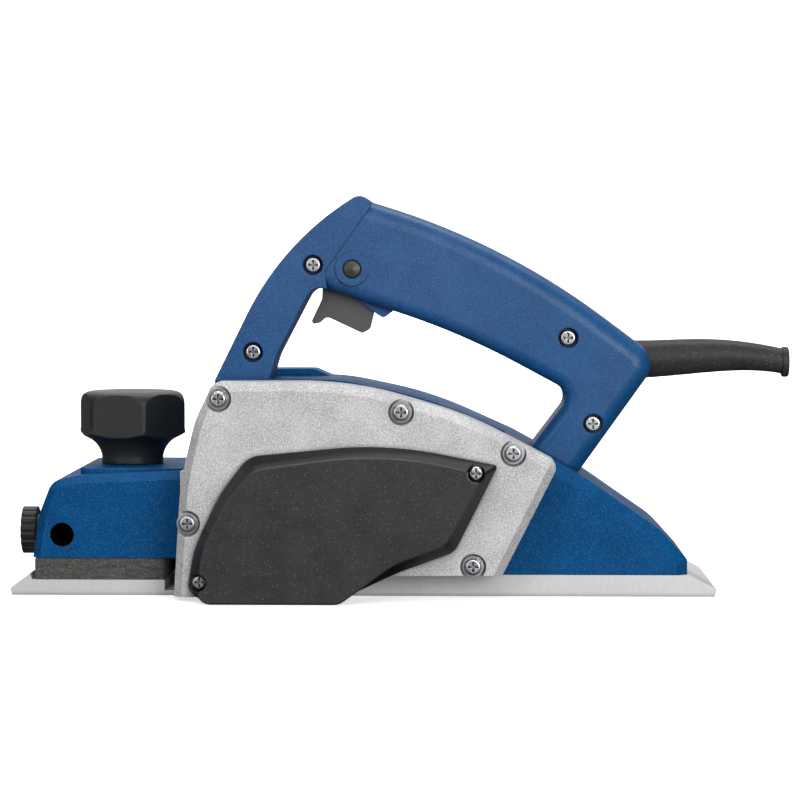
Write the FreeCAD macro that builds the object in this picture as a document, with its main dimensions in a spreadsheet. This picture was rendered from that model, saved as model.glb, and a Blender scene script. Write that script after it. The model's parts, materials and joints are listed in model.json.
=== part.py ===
import FreeCAD, Part
import Sketcher
import math
import os
import re

Vector = FreeCAD.Vector

# Driving dimensions in millimetres.  X runs from the depth knob to the cord guard, the belt side faces -Y,
# and the sole plane is Z = 0.
SIZES = {
    # sole and frame casting
    "sole_front": -146.0,
    "sole_rear": 145.0,
    "side": 43.0,
    "sole_thick": 8.8,
    "nose_height": 2.8,
    "rear_nose_run": 11.3,
    "shoe_thick": 6.3,
    "shoe_nose_run": 8.0,
    "shoe_ridge": 8.8,
    "shoe_gap": 0.3,
    "shoe_end": -82.0,
    "lip_thick": 2.0,
    "lip_end": -60.0,
    "groove_depth": 3.6,
    "frame_front": -75.5,
    "frame_rear": -15.5,
    "frame_top": 51.0,
    "frame_foot": 4.2,
    "end_plate_wall": 1.0,
    "end_plate_top": 46.5,
    "end_plate_rear": -22.5,
    "rabbet_height": 11.0,
    # cutter and motor axes
    "drum_x": -46.0,
    "drum_z": 24.0,
    "cut_radius": 24.0,
    "drum_radius": 22.5,
    "drum_clear": 2.0,
    "chamber_radius": 25.5,
    "motor_x": 14.0,
    "motor_z": 48.0,
    "motor_bore": 29.0,
    "shaft_radius": 4.0,
    "bearing_radius": 11.0,
    "bearing_width": 7.0,
    "running_gap": 0.05,
    "fit_gap": 0.3,
    # front housing, depth knob and fence clamp
    "knob_x": -100.0,
    "housing_front": -137.0,
    "housing_inset": 1.5,
    "seal_top": 15.2,
    "seal_wall": 7.0,
    "housing_bevel": 3.2,
    "spindle_radius": 5.0,
    "boss_radius": 9.0,
    "boss_top": 28.0,
    "spring_roof": 42.0,
    "spring_cavity": 11.0,
    "knob_top": 82.4,
    "knob_skirt": 64.9,
    "knob_corner": 23.45,
    "knob_radius": 23.0,
    "knob_lip": 23.4,
    "knob_turn": 48.5,
    "stem_radius": 13.0,
    "rod_x": -124.6,
    "rod_z": 24.8,
    "rod_radius": 4.9,
    "clamp_z": 22.9,
    "clamp_knob_radius": 10.0,
    "clamp_gap": 3.6,
    "clamp_thick": 6.2,
    "clamp_shaft": 3.0,
    # side bracket and belt cover
    "bracket_depth": 21.0,
    "bracket_web": 0.5,
    "bracket_foot": 1.8,
    "bracket_step": 10.6,
    "bracket_bevel": 3.4,
    "pocket_radius": 5.3,
    "pocket_depth": 2.6,
    "cover_rise": 2.5,
    "cover_slope": 9.5,
    "cover_wall": 2.4,
    "drum_pulley": 12.8,
    "motor_pulley": 8.0,
    "belt_thick": 2.2,
    "pulley_inset": 1.5,
    "pulley_gap": 1.0,
    # body housing and motor cover
    "body_top": 88.0,
    "body_rear": 133.2,
    "body_bevel": 5.0,
    "rim_lip": 1.2,
    "rim_width": 3.2,
    "duct_hump": 3.0,
    "motor_depth": 33.0,
    "motor_wall": 10.0,
    "motor_boss": 16.0,
    "motor_seat": 8.0,
    "cover_radius": 33.0,
    "duct_radius": 12.0,
    "outlet_bore": 13.0,
    "duct_z": 67.0,
    "outlet_length": 19.0,
    # handle, switch and cord guard
    "handle_half": 17.0,
    "strut_proud": 0.9,
    "strut_edge": 0.8,
    "grip_round": 8.0,
    "grip_under": 5.5,
    "button_x": -5.7,
    "button_z": 134.2,
    "button_radius": 3.9,
    "button_ring": 7.0,
    "trigger_half": 6.5,
    "switch_half": 8.0,
    "guard_root": 8.3,
    "guard_end": 5.4,
    "guard_start": 105.0,
    "guard_tip": 176.0,
    "cord_hole": 3.6,
    # fasteners
    "screw_shank": 2.0,
    "screw_head": 3.3,
    "head_height": 2.3,
    "washer_radius": 4.4,
    "washer_thick": 0.9,
    "cross_width": 0.9,
    "cross_reach": 2.1,
    "cross_depth": 1.2,
}

document = FreeCAD.newDocument("HandPlaner")
sheet = document.addObject("Spreadsheet::Sheet", "Sizes")
for row, (alias, amount) in enumerate(SIZES.items(), start=1):
    sheet.set("A%d" % row, alias)
    sheet.set("B%d" % row, str(amount))
    sheet.setAlias("B%d" % row, alias)
document.recompute()
size = {alias: float(sheet.get(alias)) for alias in SIZES}
sub_parts = []


# ---------------------------------------------------------------- sketch geometry
def circle(x, y, radius):
    return [Part.Circle(Vector(x, y, 0), Vector(0, 0, 1), radius)]


def polygon(points):
    corners = [Vector(x, y, 0) for x, y in points]
    return [Part.LineSegment(a, b) for a, b in zip(corners, corners[1:] + corners[:1])]


def box(x_low, x_high, y_low, y_high):
    return polygon([(x_low, y_low), (x_high, y_low), (x_high, y_high), (x_low, y_high)])


def rounded(points):
    """Closed outline through corners (x, y, radius), each rounded by a tangent arc."""
    pieces = []
    ends = []
    count = len(points)
    for index in range(count):
        x, y, radius = points[index]
        corner = Vector(x, y, 0)
        before = Vector(points[index - 1][0], points[index - 1][1], 0)
        after = Vector(points[(index + 1) % count][0], points[(index + 1) % count][1], 0)
        if radius <= 0:
            ends.append((corner, corner))
            pieces.append(None)
            continue
        towards_before = (before - corner).normalize()
        towards_after = (after - corner).normalize()
        half_angle = towards_before.getAngle(towards_after) / 2
        reach = radius / math.tan(half_angle)
        first = corner + towards_before * reach
        last = corner + towards_after * reach
        middle_way = (towards_before + towards_after).normalize()
        depth = radius / math.sin(half_angle) - radius
        ends.append((first, last))
        pieces.append(Part.Arc(first, corner + middle_way * depth, last))
    outline = []
    for index in range(count):
        if pieces[index] is not None:
            outline.append(pieces[index])
        start = ends[index][1]
        stop = ends[(index + 1) % count][0]
        corner = Vector(points[index][0], points[index][1], 0)
        following = Vector(points[(index + 1) % count][0], points[(index + 1) % count][1], 0)
        if (stop - start).dot(following - corner) < -1e-6:
            raise RuntimeError("corner radius too large near corner %d" % index)
        if start.distanceToPoint(stop) > 1e-6:
            outline.append(Part.LineSegment(start, stop))
    return outline


def slot(x, y, half_length, radius, angle=0.0):
    """Outline of a long hole centred on (x, y)."""
    along = Vector(math.cos(angle), math.sin(angle), 0)
    across = Vector(-along.y, along.x, 0)
    centre = Vector(x, y, 0)
    left = centre - along * half_length
    right = centre + along * half_length
    return [
        Part.LineSegment(left + across * -radius, right + across * -radius),
        Part.Arc(right + across * -radius, right + along * radius, right + across * radius),
        Part.LineSegment(right + across * radius, left + across * radius),
        Part.Arc(left + across * radius, left - along * radius, left + across * -radius),
    ]


def cross(x, y):
    """Outline of a cross recess."""
    reach = size["cross_reach"]
    half = size["cross_width"] / 2
    return polygon([
        (x - half, y - reach), (x + half, y - reach), (x + half, y - half), (x + reach, y - half),
        (x + reach, y + half), (x + half, y + half), (x + half, y + reach), (x - half, y + reach),
        (x - half, y + half), (x - reach, y + half), (x - reach, y - half), (x - half, y - half),
    ])


# ---------------------------------------------------------------- document objects
def bound(text):
    """Turns an expression over dimension names into one over the sheet's cells."""
    return re.sub(r"[a-z_]+", lambda word: "Sizes." + word.group(0), text)


def across(*names):
    """Distance from the middle plane: the half width plus the named depths."""
    return size["side"] + sum(size[name] for name in names)


def new_body(label):
    body = document.addObject("PartDesign::Body", label)
    body.Label = label
    body.AllowCompound = True
    sub_parts.append(body)
    return body


def new_sketch(body, plane, offset, loops):
    """Sketch on one of the body's origin planes; offset is an expression for (x, y, z) in the plane's frame."""
    sketch = body.newObject("Sketcher::SketchObject", body.Label + "_sketch")
    planes = [item for item in body.Origin.OriginFeatures if item.Role == plane]
    sketch.AttachmentSupport = [(planes[0], "")]
    sketch.MapMode = "FlatFace"
    for axis, text in zip("xyz", offset):
        sketch.setExpression("AttachmentOffset.Base." + axis, bound(text))
    for loop in loops:
        sketch.addGeometry(loop, False)
    return sketch


def extrude(body, kind, plane, low, high, loops):
    """Pad or pocket between the coordinates low and high along the plane's own axis."""
    start = "-(%s)" % high if plane == "XZ_Plane" else low
    sketch = new_sketch(body, plane, ("0", "0", start), loops)
    feature = body.newObject("PartDesign::" + kind, body.Label + "_" + kind)
    feature.Profile = sketch
    feature.setExpression("Length", bound("(%s) - (%s)" % (high, low)))
    feature.Reversed = kind == "Pocket"
    document.recompute()
    return feature


def pad(body, plane, low, high, loops):
    return extrude(body, "Pad", plane, low, high, loops)


def pocket(body, plane, low, high, loops):
    before = body.Shape.Volume
    feature = extrude(body, "Pocket", plane, low, high, loops)
    if feature.Shape.Volume > before - 1e-3:
        raise RuntimeError("pocket cuts nothing in " + body.Label)
    return feature


def turn(body, kind, plane, offset, axis, loops):
    """Revolution or groove about the sketch's horizontal or vertical axis."""
    sketch = new_sketch(body, plane, offset, loops)
    feature = body.newObject("PartDesign::" + kind, body.Label + "_" + kind)
    feature.Profile = sketch
    feature.ReferenceAxis = (sketch, [axis])
    feature.Angle = 360.0
    document.recompute()
    return feature


def turned_along_y(body, x, z, loops, kind="Revolution"):
    """Loops are (radius, Y) outlines about an axis along Y through (x, z)."""
    return turn(body, kind, "XY_Plane", (x, "0", z), "V_Axis", loops)


def turned_along_z(body, x, loops, kind="Revolution"):
    """Loops are (radius, Z) outlines about an axis along Z through x."""
    return turn(body, kind, "XZ_Plane", (x, "0", "0"), "V_Axis", loops)


def dress(body, kind, radius, chooser):
    """Fillet or chamfer of the edges that the chooser accepts."""
    base = body.Tip
    names = ["Edge%d" % number for number, edge in enumerate(base.Shape.Edges, start=1) if chooser(edge)]
    if not names:
        raise RuntimeError("no edges to dress in " + body.Label)
    feature = body.newObject("PartDesign::" + kind, body.Label + "_" + kind)
    feature.Base = (base, names)
    feature.setExpression("Radius" if kind == "Fillet" else "Size", bound(radius))
    document.recompute()
    if not feature.Shape.isValid():
        raise RuntimeError("unsound edge dressing in " + body.Label)
    return feature


def level(edge, axis, value):
    """True where the whole edge lies in the plane axis = value."""
    low = getattr(edge.BoundBox, axis + "Min")
    high = getattr(edge.BoundBox, axis + "Max")
    return abs(low - value) < 1e-4 and abs(high - value) < 1e-4


def ring(outer, inner, low, high):
    """(radius, length) outline of a tube."""
    return polygon([(inner, low), (outer, low), (outer, high), (inner, high)])


# ---------------------------------------------------------------- sole, frame and front shoe
def body_line(x):
    """Height of the straight seat behind the finger opening, where the rear leg of the handle stands."""
    return 61.8 - 0.55 * (x - 67.0)


def make_rear_base():
    body = new_body("rear_base")
    foot = size["frame_foot"]
    pad(body, "XZ_Plane", "-side", "side", polygon([
        (size["drum_x"], 0), (size["sole_rear"] - 1.0, 0), (size["sole_rear"], size["nose_height"]),
        (size["sole_rear"] - size["rear_nose_run"], size["sole_thick"]),
        (size["frame_rear"], size["sole_thick"]), (size["frame_rear"], size["frame_top"]),
        (size["frame_front"], size["frame_top"]), (size["frame_front"], foot),
        (size["drum_x"], foot),
    ]))
    pad(body, "XZ_Plane", "side", "side + bearing_width + end_plate_wall", rounded([
        (size["frame_front"], size["rabbet_height"], 4), (size["end_plate_rear"], size["rabbet_height"], 4),
        (size["end_plate_rear"], size["end_plate_top"], 6), (size["frame_front"], size["end_plate_top"], 6),
    ]))
    pocket(body, "XZ_Plane", "-side - 1", "side + 0.2",
           circle(size["drum_x"], size["drum_z"], size["chamber_radius"]))
    pocket(body, "XZ_Plane", "side - 1", "side + bearing_width + end_plate_wall + 1",
           circle(size["drum_x"], size["drum_z"], size["bearing_radius"]))
    pocket(body, "XY_Plane", "frame_top - 8", "frame_top + 1",
           box(size["drum_x"] - 10, size["drum_x"] + 10, -30, 30))
    screw = size["screw_shank"] + 0.15
    pocket(body, "XZ_Plane", "-side - 1", "-side + 3", circle(-70.6, 31.5, screw))
    return body


def make_front_shoe():
    body = new_body("front_shoe")
    ridge = size["sole_front"] + size["shoe_nose_run"]
    pad(body, "XZ_Plane", "-side + shoe_gap", "side - shoe_gap", polygon([
        (size["sole_front"] + 0.8, 0), (size["lip_end"], 0), (size["lip_end"] - 0.8, size["lip_thick"]),
        (size["shoe_end"], size["lip_thick"]), (size["shoe_end"], size["shoe_thick"]),
        (ridge + 1.1, size["shoe_thick"]), (ridge, size["shoe_ridge"]), (size["sole_front"], size["nose_height"]),
    ]))
    pad(body, "XY_Plane", "shoe_thick - 1", "boss_top", circle(size["knob_x"], 0, size["boss_radius"]))
    pocket(body, "XY_Plane", "lip_thick + 1", "boss_top + 1",
           circle(size["knob_x"], 0, size["spindle_radius"] + size["running_gap"]))
    depth = size["groove_depth"]
    pocket(body, "YZ_Plane", "sole_front - 1", "shoe_end - 4", polygon([(-depth, -0.01), (depth, -0.01), (0, depth)]))
    return body


def make_foam_seal():
    body = new_body("foam_seal")
    front = size["housing_front"] + 0.4
    back = size["frame_front"] - 1.0
    half = size["side"] - size["housing_inset"]
    wall = size["seal_wall"]
    pad(body, "XY_Plane", "shoe_thick", "seal_top", rounded([
        (front, -half, 4), (size["shoe_end"], -half, 1), (size["shoe_end"], half, 1), (front, half, 4),
    ]))
    pocket(body, "XY_Plane", "shoe_thick - 1", "seal_top + 1", rounded([
        (front + wall, -half + wall, 3), (back - wall - 5, -half + wall, 1),
        (back - wall - 5, half - wall, 1), (front + wall, half - wall, 3),
    ]))
    return body


def make_front_housing():
    body = new_body("front_housing")
    front = size["housing_front"]
    back = size["frame_front"] - 0.1
    top = size["frame_top"]
    pad(body, "XZ_Plane", "-side + housing_inset", "side - housing_inset", rounded([
        (front, size["seal_top"], 0), (back, size["seal_top"], 0), (back, top, 0),
        (-118.0, top - 1.8, 6), (-129.0, top - 4.2, 7), (-134.2, 33.5, 30), (front + 0.4, 18.0, 0),
    ]))
    half = size["side"] - size["housing_inset"]

    def outer_side(edge):
        centre = edge.BoundBox.Center
        on_side = level(edge, "Y", half) or level(edge, "Y", -half)
        return on_side and centre.z > size["seal_top"] + 0.5 and centre.x < back - 0.5
    dress(body, "Chamfer", "housing_bevel", outer_side)
    pad(body, "XY_Plane", "frame_top - 4", "frame_top + 0.6", rounded([
        (-118.5, -33, 5), (back, -33, 0), (back, 33, 0), (-118.5, 33, 5),
    ]))
    pocket(body, "XY_Plane", "seal_top - 1", "spring_roof",
           circle(size["knob_x"], 0, size["spring_cavity"]))
    pocket(body, "XY_Plane", "spring_roof - 1", "frame_top + 3",
           circle(size["knob_x"], 0, size["spindle_radius"] + size["running_gap"]))
    pocket(body, "XZ_Plane", "-side + housing_inset - 1", "side - housing_inset + 1",
           circle(size["rod_x"], size["rod_z"], size["rod_radius"]))
    bore = new_sketch(body, "YZ_Plane", ("0", "0", "housing_front - 3"),
                      circle(0, size["clamp_z"], size["clamp_shaft"] + size["running_gap"]))
    hole = body.newObject("PartDesign::Pocket", "clamp_bore")
    hole.Profile = bore
    hole.setExpression("Length", bound("rod_x - housing_front + 3"))
    hole.Reversed = True
    document.recompute()
    return body


# ---------------------------------------------------------------- depth adjustment
def make_depth_knob():
    """Turned knob whose skirt is cut to a hexagon, so that each flat has an arched top and foot."""
    body = new_body("depth_knob")
    stem = size["stem_radius"]
    low = size["frame_top"] + 0.9
    skirt = size["knob_skirt"]
    top = size["knob_top"]
    radius = size["knob_radius"]
    lip = size["knob_lip"]
    corners = [(0, low), (stem, low), (stem, low + 2.6)]
    flare = [Part.LineSegment(Vector(*first, 0), Vector(*second, 0)) for first, second in zip(corners, corners[1:])]
    flare.append(Part.Arc(Vector(stem, low + 2.6, 0), Vector(stem + 2.2, skirt - 5.2, 0),
                          Vector(stem + 6.2, skirt - 2.2, 0)))
    corners = [(stem + 6.2, skirt - 2.2), (lip, skirt), (lip, skirt + 1.4), (radius, skirt + 1.7), (radius, top - 5.4)]
    flare += [Part.LineSegment(Vector(*first, 0), Vector(*second, 0)) for first, second in zip(corners, corners[1:])]
    flare.append(Part.Arc(Vector(radius, top - 5.4, 0), Vector(radius - 2.0, top - 1.5, 0), Vector(radius - 6.4, top, 0)))
    corners = [(radius - 6.4, top), (0, top), (0, low)]
    flare += [Part.LineSegment(Vector(*first, 0), Vector(*second, 0)) for first, second in zip(corners, corners[1:])]
    turned_along_z(body, "knob_x", flare)
    flats = []
    for side in range(6):
        angle = math.radians(size["knob_turn"] + 60 * side)
        flats.append((size["knob_x"] + size["knob_corner"] * math.cos(angle), size["knob_corner"] * math.sin(angle)))
    pocket(body, "XY_Plane", "frame_top + 2", "knob_top + 1",
           circle(size["knob_x"], 0, 2 * size["knob_corner"]) + polygon(flats))
    pocket(body, "XY_Plane", "frame_top", "knob_top - 6",
           circle(size["knob_x"], 0, size["spindle_radius"] + size["running_gap"]))
    return body


def make_depth_spindle():
    body = new_body("depth_spindle")
    radius = size["spindle_radius"]
    low = size["boss_top"] - 20
    high = size["knob_top"] - 8
    turned_along_z(body, "knob_x", polygon([
        (0, low), (radius - 1, low), (radius, low + 1), (radius, high), (0, high),
    ]))
    return body


def make_fence_knob():
    body = new_body("fence_knob")
    radius = size["clamp_knob_radius"]
    back = size["housing_front"] - size["clamp_gap"]
    front = "housing_front - clamp_gap - clamp_thick"
    sketch = new_sketch(body, "YZ_Plane", ("0", "clamp_z", front), circle(0, 0, radius))
    disc = body.newObject("PartDesign::Pad", "knob_disc")
    disc.Profile = sketch
    disc.setExpression("Length", bound("clamp_thick"))
    document.recompute()
    notches = []
    for number in range(18):
        angle = 2 * math.pi * number / 18
        notches += circle(radius * 1.04 * math.cos(angle), radius * 1.04 * math.sin(angle), 0.95)
    sketch = new_sketch(body, "YZ_Plane", ("0", "clamp_z", front), notches)
    knurl = body.newObject("PartDesign::Pocket", "knurl")
    knurl.Profile = sketch
    knurl.setExpression("Length", bound("clamp_thick"))
    knurl.Reversed = True
    document.recompute()
    turn(body, "Revolution", "XY_Plane", ("0", "0", "clamp_z"), "H_Axis", polygon([
        (back - 1, 0), (back - 1, 6.4), (back + 0.8, 6.4),
        (size["housing_front"] - 0.3, 5.2), (size["housing_front"] - 0.3, 0),
    ]))
    shaft = size["clamp_shaft"]
    turn(body, "Groove", "XY_Plane", ("0", "0", "clamp_z"), "H_Axis", box(
        back - size["clamp_thick"] + 2, size["housing_front"], 0, shaft))
    return body


def make_fence_screw():
    body = new_body("fence_screw")
    shaft = size["clamp_shaft"]
    tip = size["rod_x"] - size["rod_radius"] - 0.4
    head = size["housing_front"] - size["clamp_gap"] - size["clamp_thick"] + 2.1
    turn(body, "Revolution", "XY_Plane", ("0", "0", "clamp_z"), "H_Axis", polygon([
        (head, 0), (head, shaft - 0.03),
        (tip - 1, shaft - 0.03), (tip, shaft - 1), (tip, 0),
    ]))
    return body


# ---------------------------------------------------------------- side bracket and belt cover
BRACKET_SCREWS = [(-57.9, 82.0), (-70.6, 31.5), (15.9, 76.7), (61.2, 60.1), (45.0, 14.3)]
COVER_SCREWS = [(-65.1, 8.5), (46.1, 52.6)]


def bracket_outline():
    return rounded([
        (-76.4, size["bracket_foot"], 0), (-10.0, size["bracket_foot"], 0), (4.0, size["bracket_step"], 0),
        (56.9, size["bracket_step"], 0), (79.8, 55.9, 4.2), (42.0, 75.4, 150.0), (-4.0, 88.8, 150.0),
        (-60.2, 88.6, 4.2), (-67.6, 73.0, 40.0), (-73.6, 48.0, 100.0),
    ])


def make_side_bracket():
    body = new_body("side_bracket")
    pad(body, "XZ_Plane", "-side - bracket_depth", "-side", bracket_outline())
    face = -across("bracket_depth")

    def outer_rim(edge):
        centre = edge.BoundBox.Center
        foot = edge.BoundBox.ZMax < size["bracket_step"] + 3
        return level(edge, "Y", face) and not foot and not (centre.x > 60 and centre.z < 50)
    dress(body, "Chamfer", "bracket_bevel", outer_rim)
    wall = size["cover_wall"] + 0.4
    pocket(body, "XZ_Plane", "-side - bracket_depth - 1", "-side - bearing_width - bracket_web",
           cover_outline(wall, 0.0))
    pockets = []
    holes = []
    for x, z in BRACKET_SCREWS:
        pockets += circle(x, z, size["pocket_radius"])
        holes += circle(x, z, size["screw_shank"] + 0.2)
    pocket(body, "XZ_Plane", "-side - bracket_depth - 1", "-side - bracket_depth + pocket_depth", pockets)
    pocket(body, "XZ_Plane", "-side - bracket_depth", "-side + 1", holes)
    bores = circle(size["drum_x"], size["drum_z"], size["bearing_radius"])
    bores += circle(size["motor_x"], size["motor_z"], size["bearing_radius"])
    pocket(body, "XZ_Plane", "-side - bearing_width", "-side + 1", bores)
    shafts = circle(size["drum_x"], size["drum_z"], size["bearing_radius"] - 2)
    shafts += circle(size["motor_x"], size["motor_z"], size["bearing_radius"] - 2)
    pocket(body, "XZ_Plane", "-side - bearing_width - bracket_web - 1", "-side", shafts)
    taps = []
    for x, z in COVER_SCREWS:
        taps += circle(x, z, size["screw_shank"] - 0.3)
    pocket(body, "XZ_Plane", "-side - bracket_depth - 1", "-side - bracket_depth + 8", taps)
    return body


def cover_outline(inset, low):
    """Belt cover outline drawn in by the given inset; low lifts the bottom edge."""
    i = inset
    return rounded([
        (-70.8 + i * 1.1, 2.0 + i + low, 5.0), (-7.0 - i * 0.4, 2.0 + i + low, 6.0),
        (15.0 - i * 0.4, 12.3 + i, 30.0), (37.6 - i * 0.9, 20.6 + i * 0.8, 7.0),
        (55.0 - i * 1.4, 55.4 - i * 0.75, 1.2), (10.0, 64.2 - i * 0.73, 150.0),
        (-45.4 + i * 0.5, 58.9 - i * 1.18, 10.0), (-57.2 + i, 43.6 - i * 0.3, 60.0),
        (-67.6 + i, 21.5 + i * 0.15, 40.0),
    ])


def make_belt_cover():
    """Hollow cover: an upright rim on the bracket, then slopes up to a flat face."""
    body = new_body("belt_cover")
    rim_plane = "side + bracket_depth + cover_rise"
    face_plane = rim_plane + " + cover_slope"
    pad(body, "XZ_Plane", "-side - bracket_depth - cover_rise", "-side - bracket_depth", cover_outline(0.0, 0.0))
    rim = new_sketch(body, "XZ_Plane", ("0", "0", rim_plane), cover_outline(0.0, 0.0))
    face = new_sketch(body, "XZ_Plane", ("0", "0", face_plane), cover_outline(4.4, -5.8))
    loft = body.newObject("PartDesign::AdditiveLoft", "cover_slopes")
    loft.Profile = rim
    loft.Sections = [face]
    loft.Ruled = True
    document.recompute()
    front = "-(" + face_plane + ")"
    seat = "-(" + rim_plane + ") - 2.4"
    back = "-side - bracket_depth + 1"
    pocket(body, "XZ_Plane", front + " + cover_wall", back, cover_outline(4.4 + size["cover_wall"], 0.0))
    seats = []
    holes = []
    for x, z in COVER_SCREWS:
        seats += circle(x, z, 3.7)
        holes += circle(x, z, size["screw_shank"])
    pocket(body, "XZ_Plane", front + " - 1", seat, seats)
    pocket(body, "XZ_Plane", front + " - 1", back, holes)
    return body


# ---------------------------------------------------------------- screws along Y
def make_screws(label, places, seat, reach, head=1.0):
    """Cross-recessed pan heads standing out towards -Y from the seat plane."""
    body = new_body(label)
    heads = []
    shanks = []
    recesses = []
    for x, z in places:
        heads += circle(x, z, size["screw_head"] * head)
        shanks += circle(x, z, size["screw_shank"] - 0.35)
        recesses += cross(x, z)
    pad(body, "XZ_Plane", seat + " - head_height", seat, heads)
    top = body.Shape.BoundBox.YMin
    dress(body, "Fillet", "head_height / 2.4", lambda edge: level(edge, "Y", top))
    pad(body, "XZ_Plane", seat, reach, shanks)
    pocket(body, "XZ_Plane", seat + " - head_height - 1", seat + " - head_height + cross_depth", recesses)
    return body


def make_bracket_screws():
    seat = "-side - bracket_depth + pocket_depth - washer_thick"
    return make_screws("bracket_screws", BRACKET_SCREWS, seat, "-side + 2.6")


def make_bracket_washers():
    body = new_body("bracket_washers")
    outers = []
    inners = []
    for x, z in BRACKET_SCREWS:
        outers += circle(x, z, size["washer_radius"])
        inners += circle(x, z, size["screw_shank"])
    seat = "-side - bracket_depth + pocket_depth"
    pad(body, "XZ_Plane", seat + " - washer_thick", seat, outers)
    pocket(body, "XZ_Plane", "-side - bracket_depth", "-side", inners)
    return body


def make_cover_screws():
    seat = "-side - bracket_depth - cover_rise - 2.4"
    return make_screws("cover_screws", COVER_SCREWS, seat, "-side - bracket_depth + 7", head=0.85)


# ---------------------------------------------------------------- cutter drum and belt drive
def make_cutter_drum():
    body = new_body("cutter_drum")
    half = size["side"] - size["drum_clear"]
    shaft = size["shaft_radius"]
    gap = size["running_gap"]
    far = across("bearing_width", "end_plate_wall") - 0.5
    turned_along_y(body, "drum_x", "drum_z", polygon([
        (0, pulley_span()[0] + 0.2), (shaft - gap, pulley_span()[0] + 0.2),
        (shaft - gap, -half - 1.5), (7.0, -half - 1.5), (7.0, -half), (size["drum_radius"], -half),
        (size["drum_radius"], half), (7.0, half), (7.0, half + 1.5), (shaft - gap, half + 1.5),
        (shaft - gap, far), (0, far),
    ]))
    for side in (1, -1):
        x = size["drum_x"]
        z = size["drum_z"]
        gullet = [(5, 6), (30, 6), (30, 30), (5, 30)]
        pocket(body, "XZ_Plane", "-side + drum_clear", "side - drum_clear",
               polygon([(x + side * a, z + side * b) for a, b in gullet]))
    return body


def drum_pair(label, profile):
    """Two opposite bars along the drum with the given cross-section about the drum axis."""
    body = new_body(label)
    loops = []
    for side in (1, -1):
        loops += polygon([(size["drum_x"] + side * a, size["drum_z"] + side * b) for a, b in profile])
    pad(body, "XZ_Plane", "-side + drum_clear", "side - drum_clear", loops)
    return body


def make_set_plates():
    return drum_pair("set_plates", [(6.5, 6.0), (21.0, 6.0), (21.0, 9.0), (6.5, 9.0)])


def make_blades():
    tip = math.sqrt(size["cut_radius"] ** 2 - 10.1 ** 2)
    return drum_pair("blades", [(16.0, 9.0), (tip - 0.9, 9.0), (tip, 10.1), (16.0, 10.1)])


def make_clamp_plates():
    return drum_pair("clamp_plates", [(8.0, 9.0), (15.9, 9.0), (15.9, 10.1), (19.0, 10.1), (17.2, 12.6), (8.0, 12.6)])


def make_blade_bolts():
    body = new_body("blade_bolts")
    spots = (-27.0, 0.0, 27.0)
    for side in (1, -1):
        start = "drum_z + 12.6" if side > 0 else "drum_z - 15.2"
        stop = "drum_z + 15.2" if side > 0 else "drum_z - 12.6"
        heads = []
        sockets = []
        for y in spots:
            heads += polygon([(size["drum_x"] + side * 12.2 + 4.0 * math.cos(math.radians(60 * n)),
                               y + 4.0 * math.sin(math.radians(60 * n))) for n in range(6)])
            sockets += circle(size["drum_x"] + side * 12.2, y, 1.6)
        pad(body, "XY_Plane", start, stop, heads)
        deep = "drum_z + 14" if side > 0 else "drum_z - 16"
        high = "drum_z + 16" if side > 0 else "drum_z - 14"
        pocket(body, "XY_Plane", deep, high, sockets)
    return body


def bearing_loops(outer, inner, centre):
    half = size["bearing_width"] / 2 - 0.05
    return polygon([(inner, centre - half), (outer, centre - half), (outer, centre + half), (inner, centre + half)])


def bearing_centres(kind):
    near = -size["side"] - size["bearing_width"] / 2
    if kind == "drum":
        return (near, across("bearing_width", "end_plate_wall") - size["bearing_width"] / 2 - 0.4)
    return (near, across("motor_depth") - size["motor_seat"] - size["bearing_width"] / 2 - 0.5)


def make_bearings(label, axis, outer, inner, shield):
    """A pair of bearing rings; shields close the outer rings."""
    body = new_body(label)
    x = axis + "_x"
    z = axis + "_z"
    for centre in bearing_centres(axis):
        turned_along_y(body, x, z, bearing_loops(outer, inner, centre))
        if shield:
            half = size["bearing_width"] / 2 - 0.5
            turned_along_y(body, x, z, box(shield, outer - 0.5, centre - half, centre + half))
    return body


def pulley_span():
    """Y of the pulleys' outer and inner faces."""
    return size["pulley_inset"] - across("bracket_depth"), -across("bearing_width", "bracket_web", "pulley_gap")


def ribbed(radius, bore, near, far, ribs):
    """(radius, Y) outline of a pulley with V ribs between two flanges."""
    points = [(bore, near), (radius + 1.2, near), (radius + 1.2, near + 1.0), (radius, near + 1.3)]
    pitch = (far - near - 2.6) / ribs
    for rib in range(ribs):
        start = near + 1.3 + pitch * rib
        points += [(radius, start + 0.15 * pitch), (radius - 1.1, start + 0.5 * pitch), (radius, start + 0.85 * pitch)]
    points += [(radius, far - 1.3), (radius + 1.2, far - 1.0), (radius + 1.2, far), (bore, far)]
    return polygon(points)


def make_pulley(label, axis, radius):
    body = new_body(label)
    turned_along_y(body, axis + "_x", axis + "_z", ribbed(
        radius, size["shaft_radius"], pulley_span()[0] + 1.2, pulley_span()[1], 5))
    return body


def make_drive_belt():
    body = new_body("drive_belt")
    gap = 0.12
    loops = []
    for extra in (gap, gap + size["belt_thick"]):
        loops += belt_loop(size["drum_pulley"] + extra, size["motor_pulley"] + extra)
    near = pulley_span()[0] + 2.6
    far = pulley_span()[1] - 1.4
    sketch = new_sketch(body, "XZ_Plane", ("0", "0", "side + bearing_width + bracket_web + pulley_gap + 1.4"), loops)
    band = body.newObject("PartDesign::Pad", "belt_band")
    band.Profile = sketch
    band.Length = far - near
    document.recompute()
    return body


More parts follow.
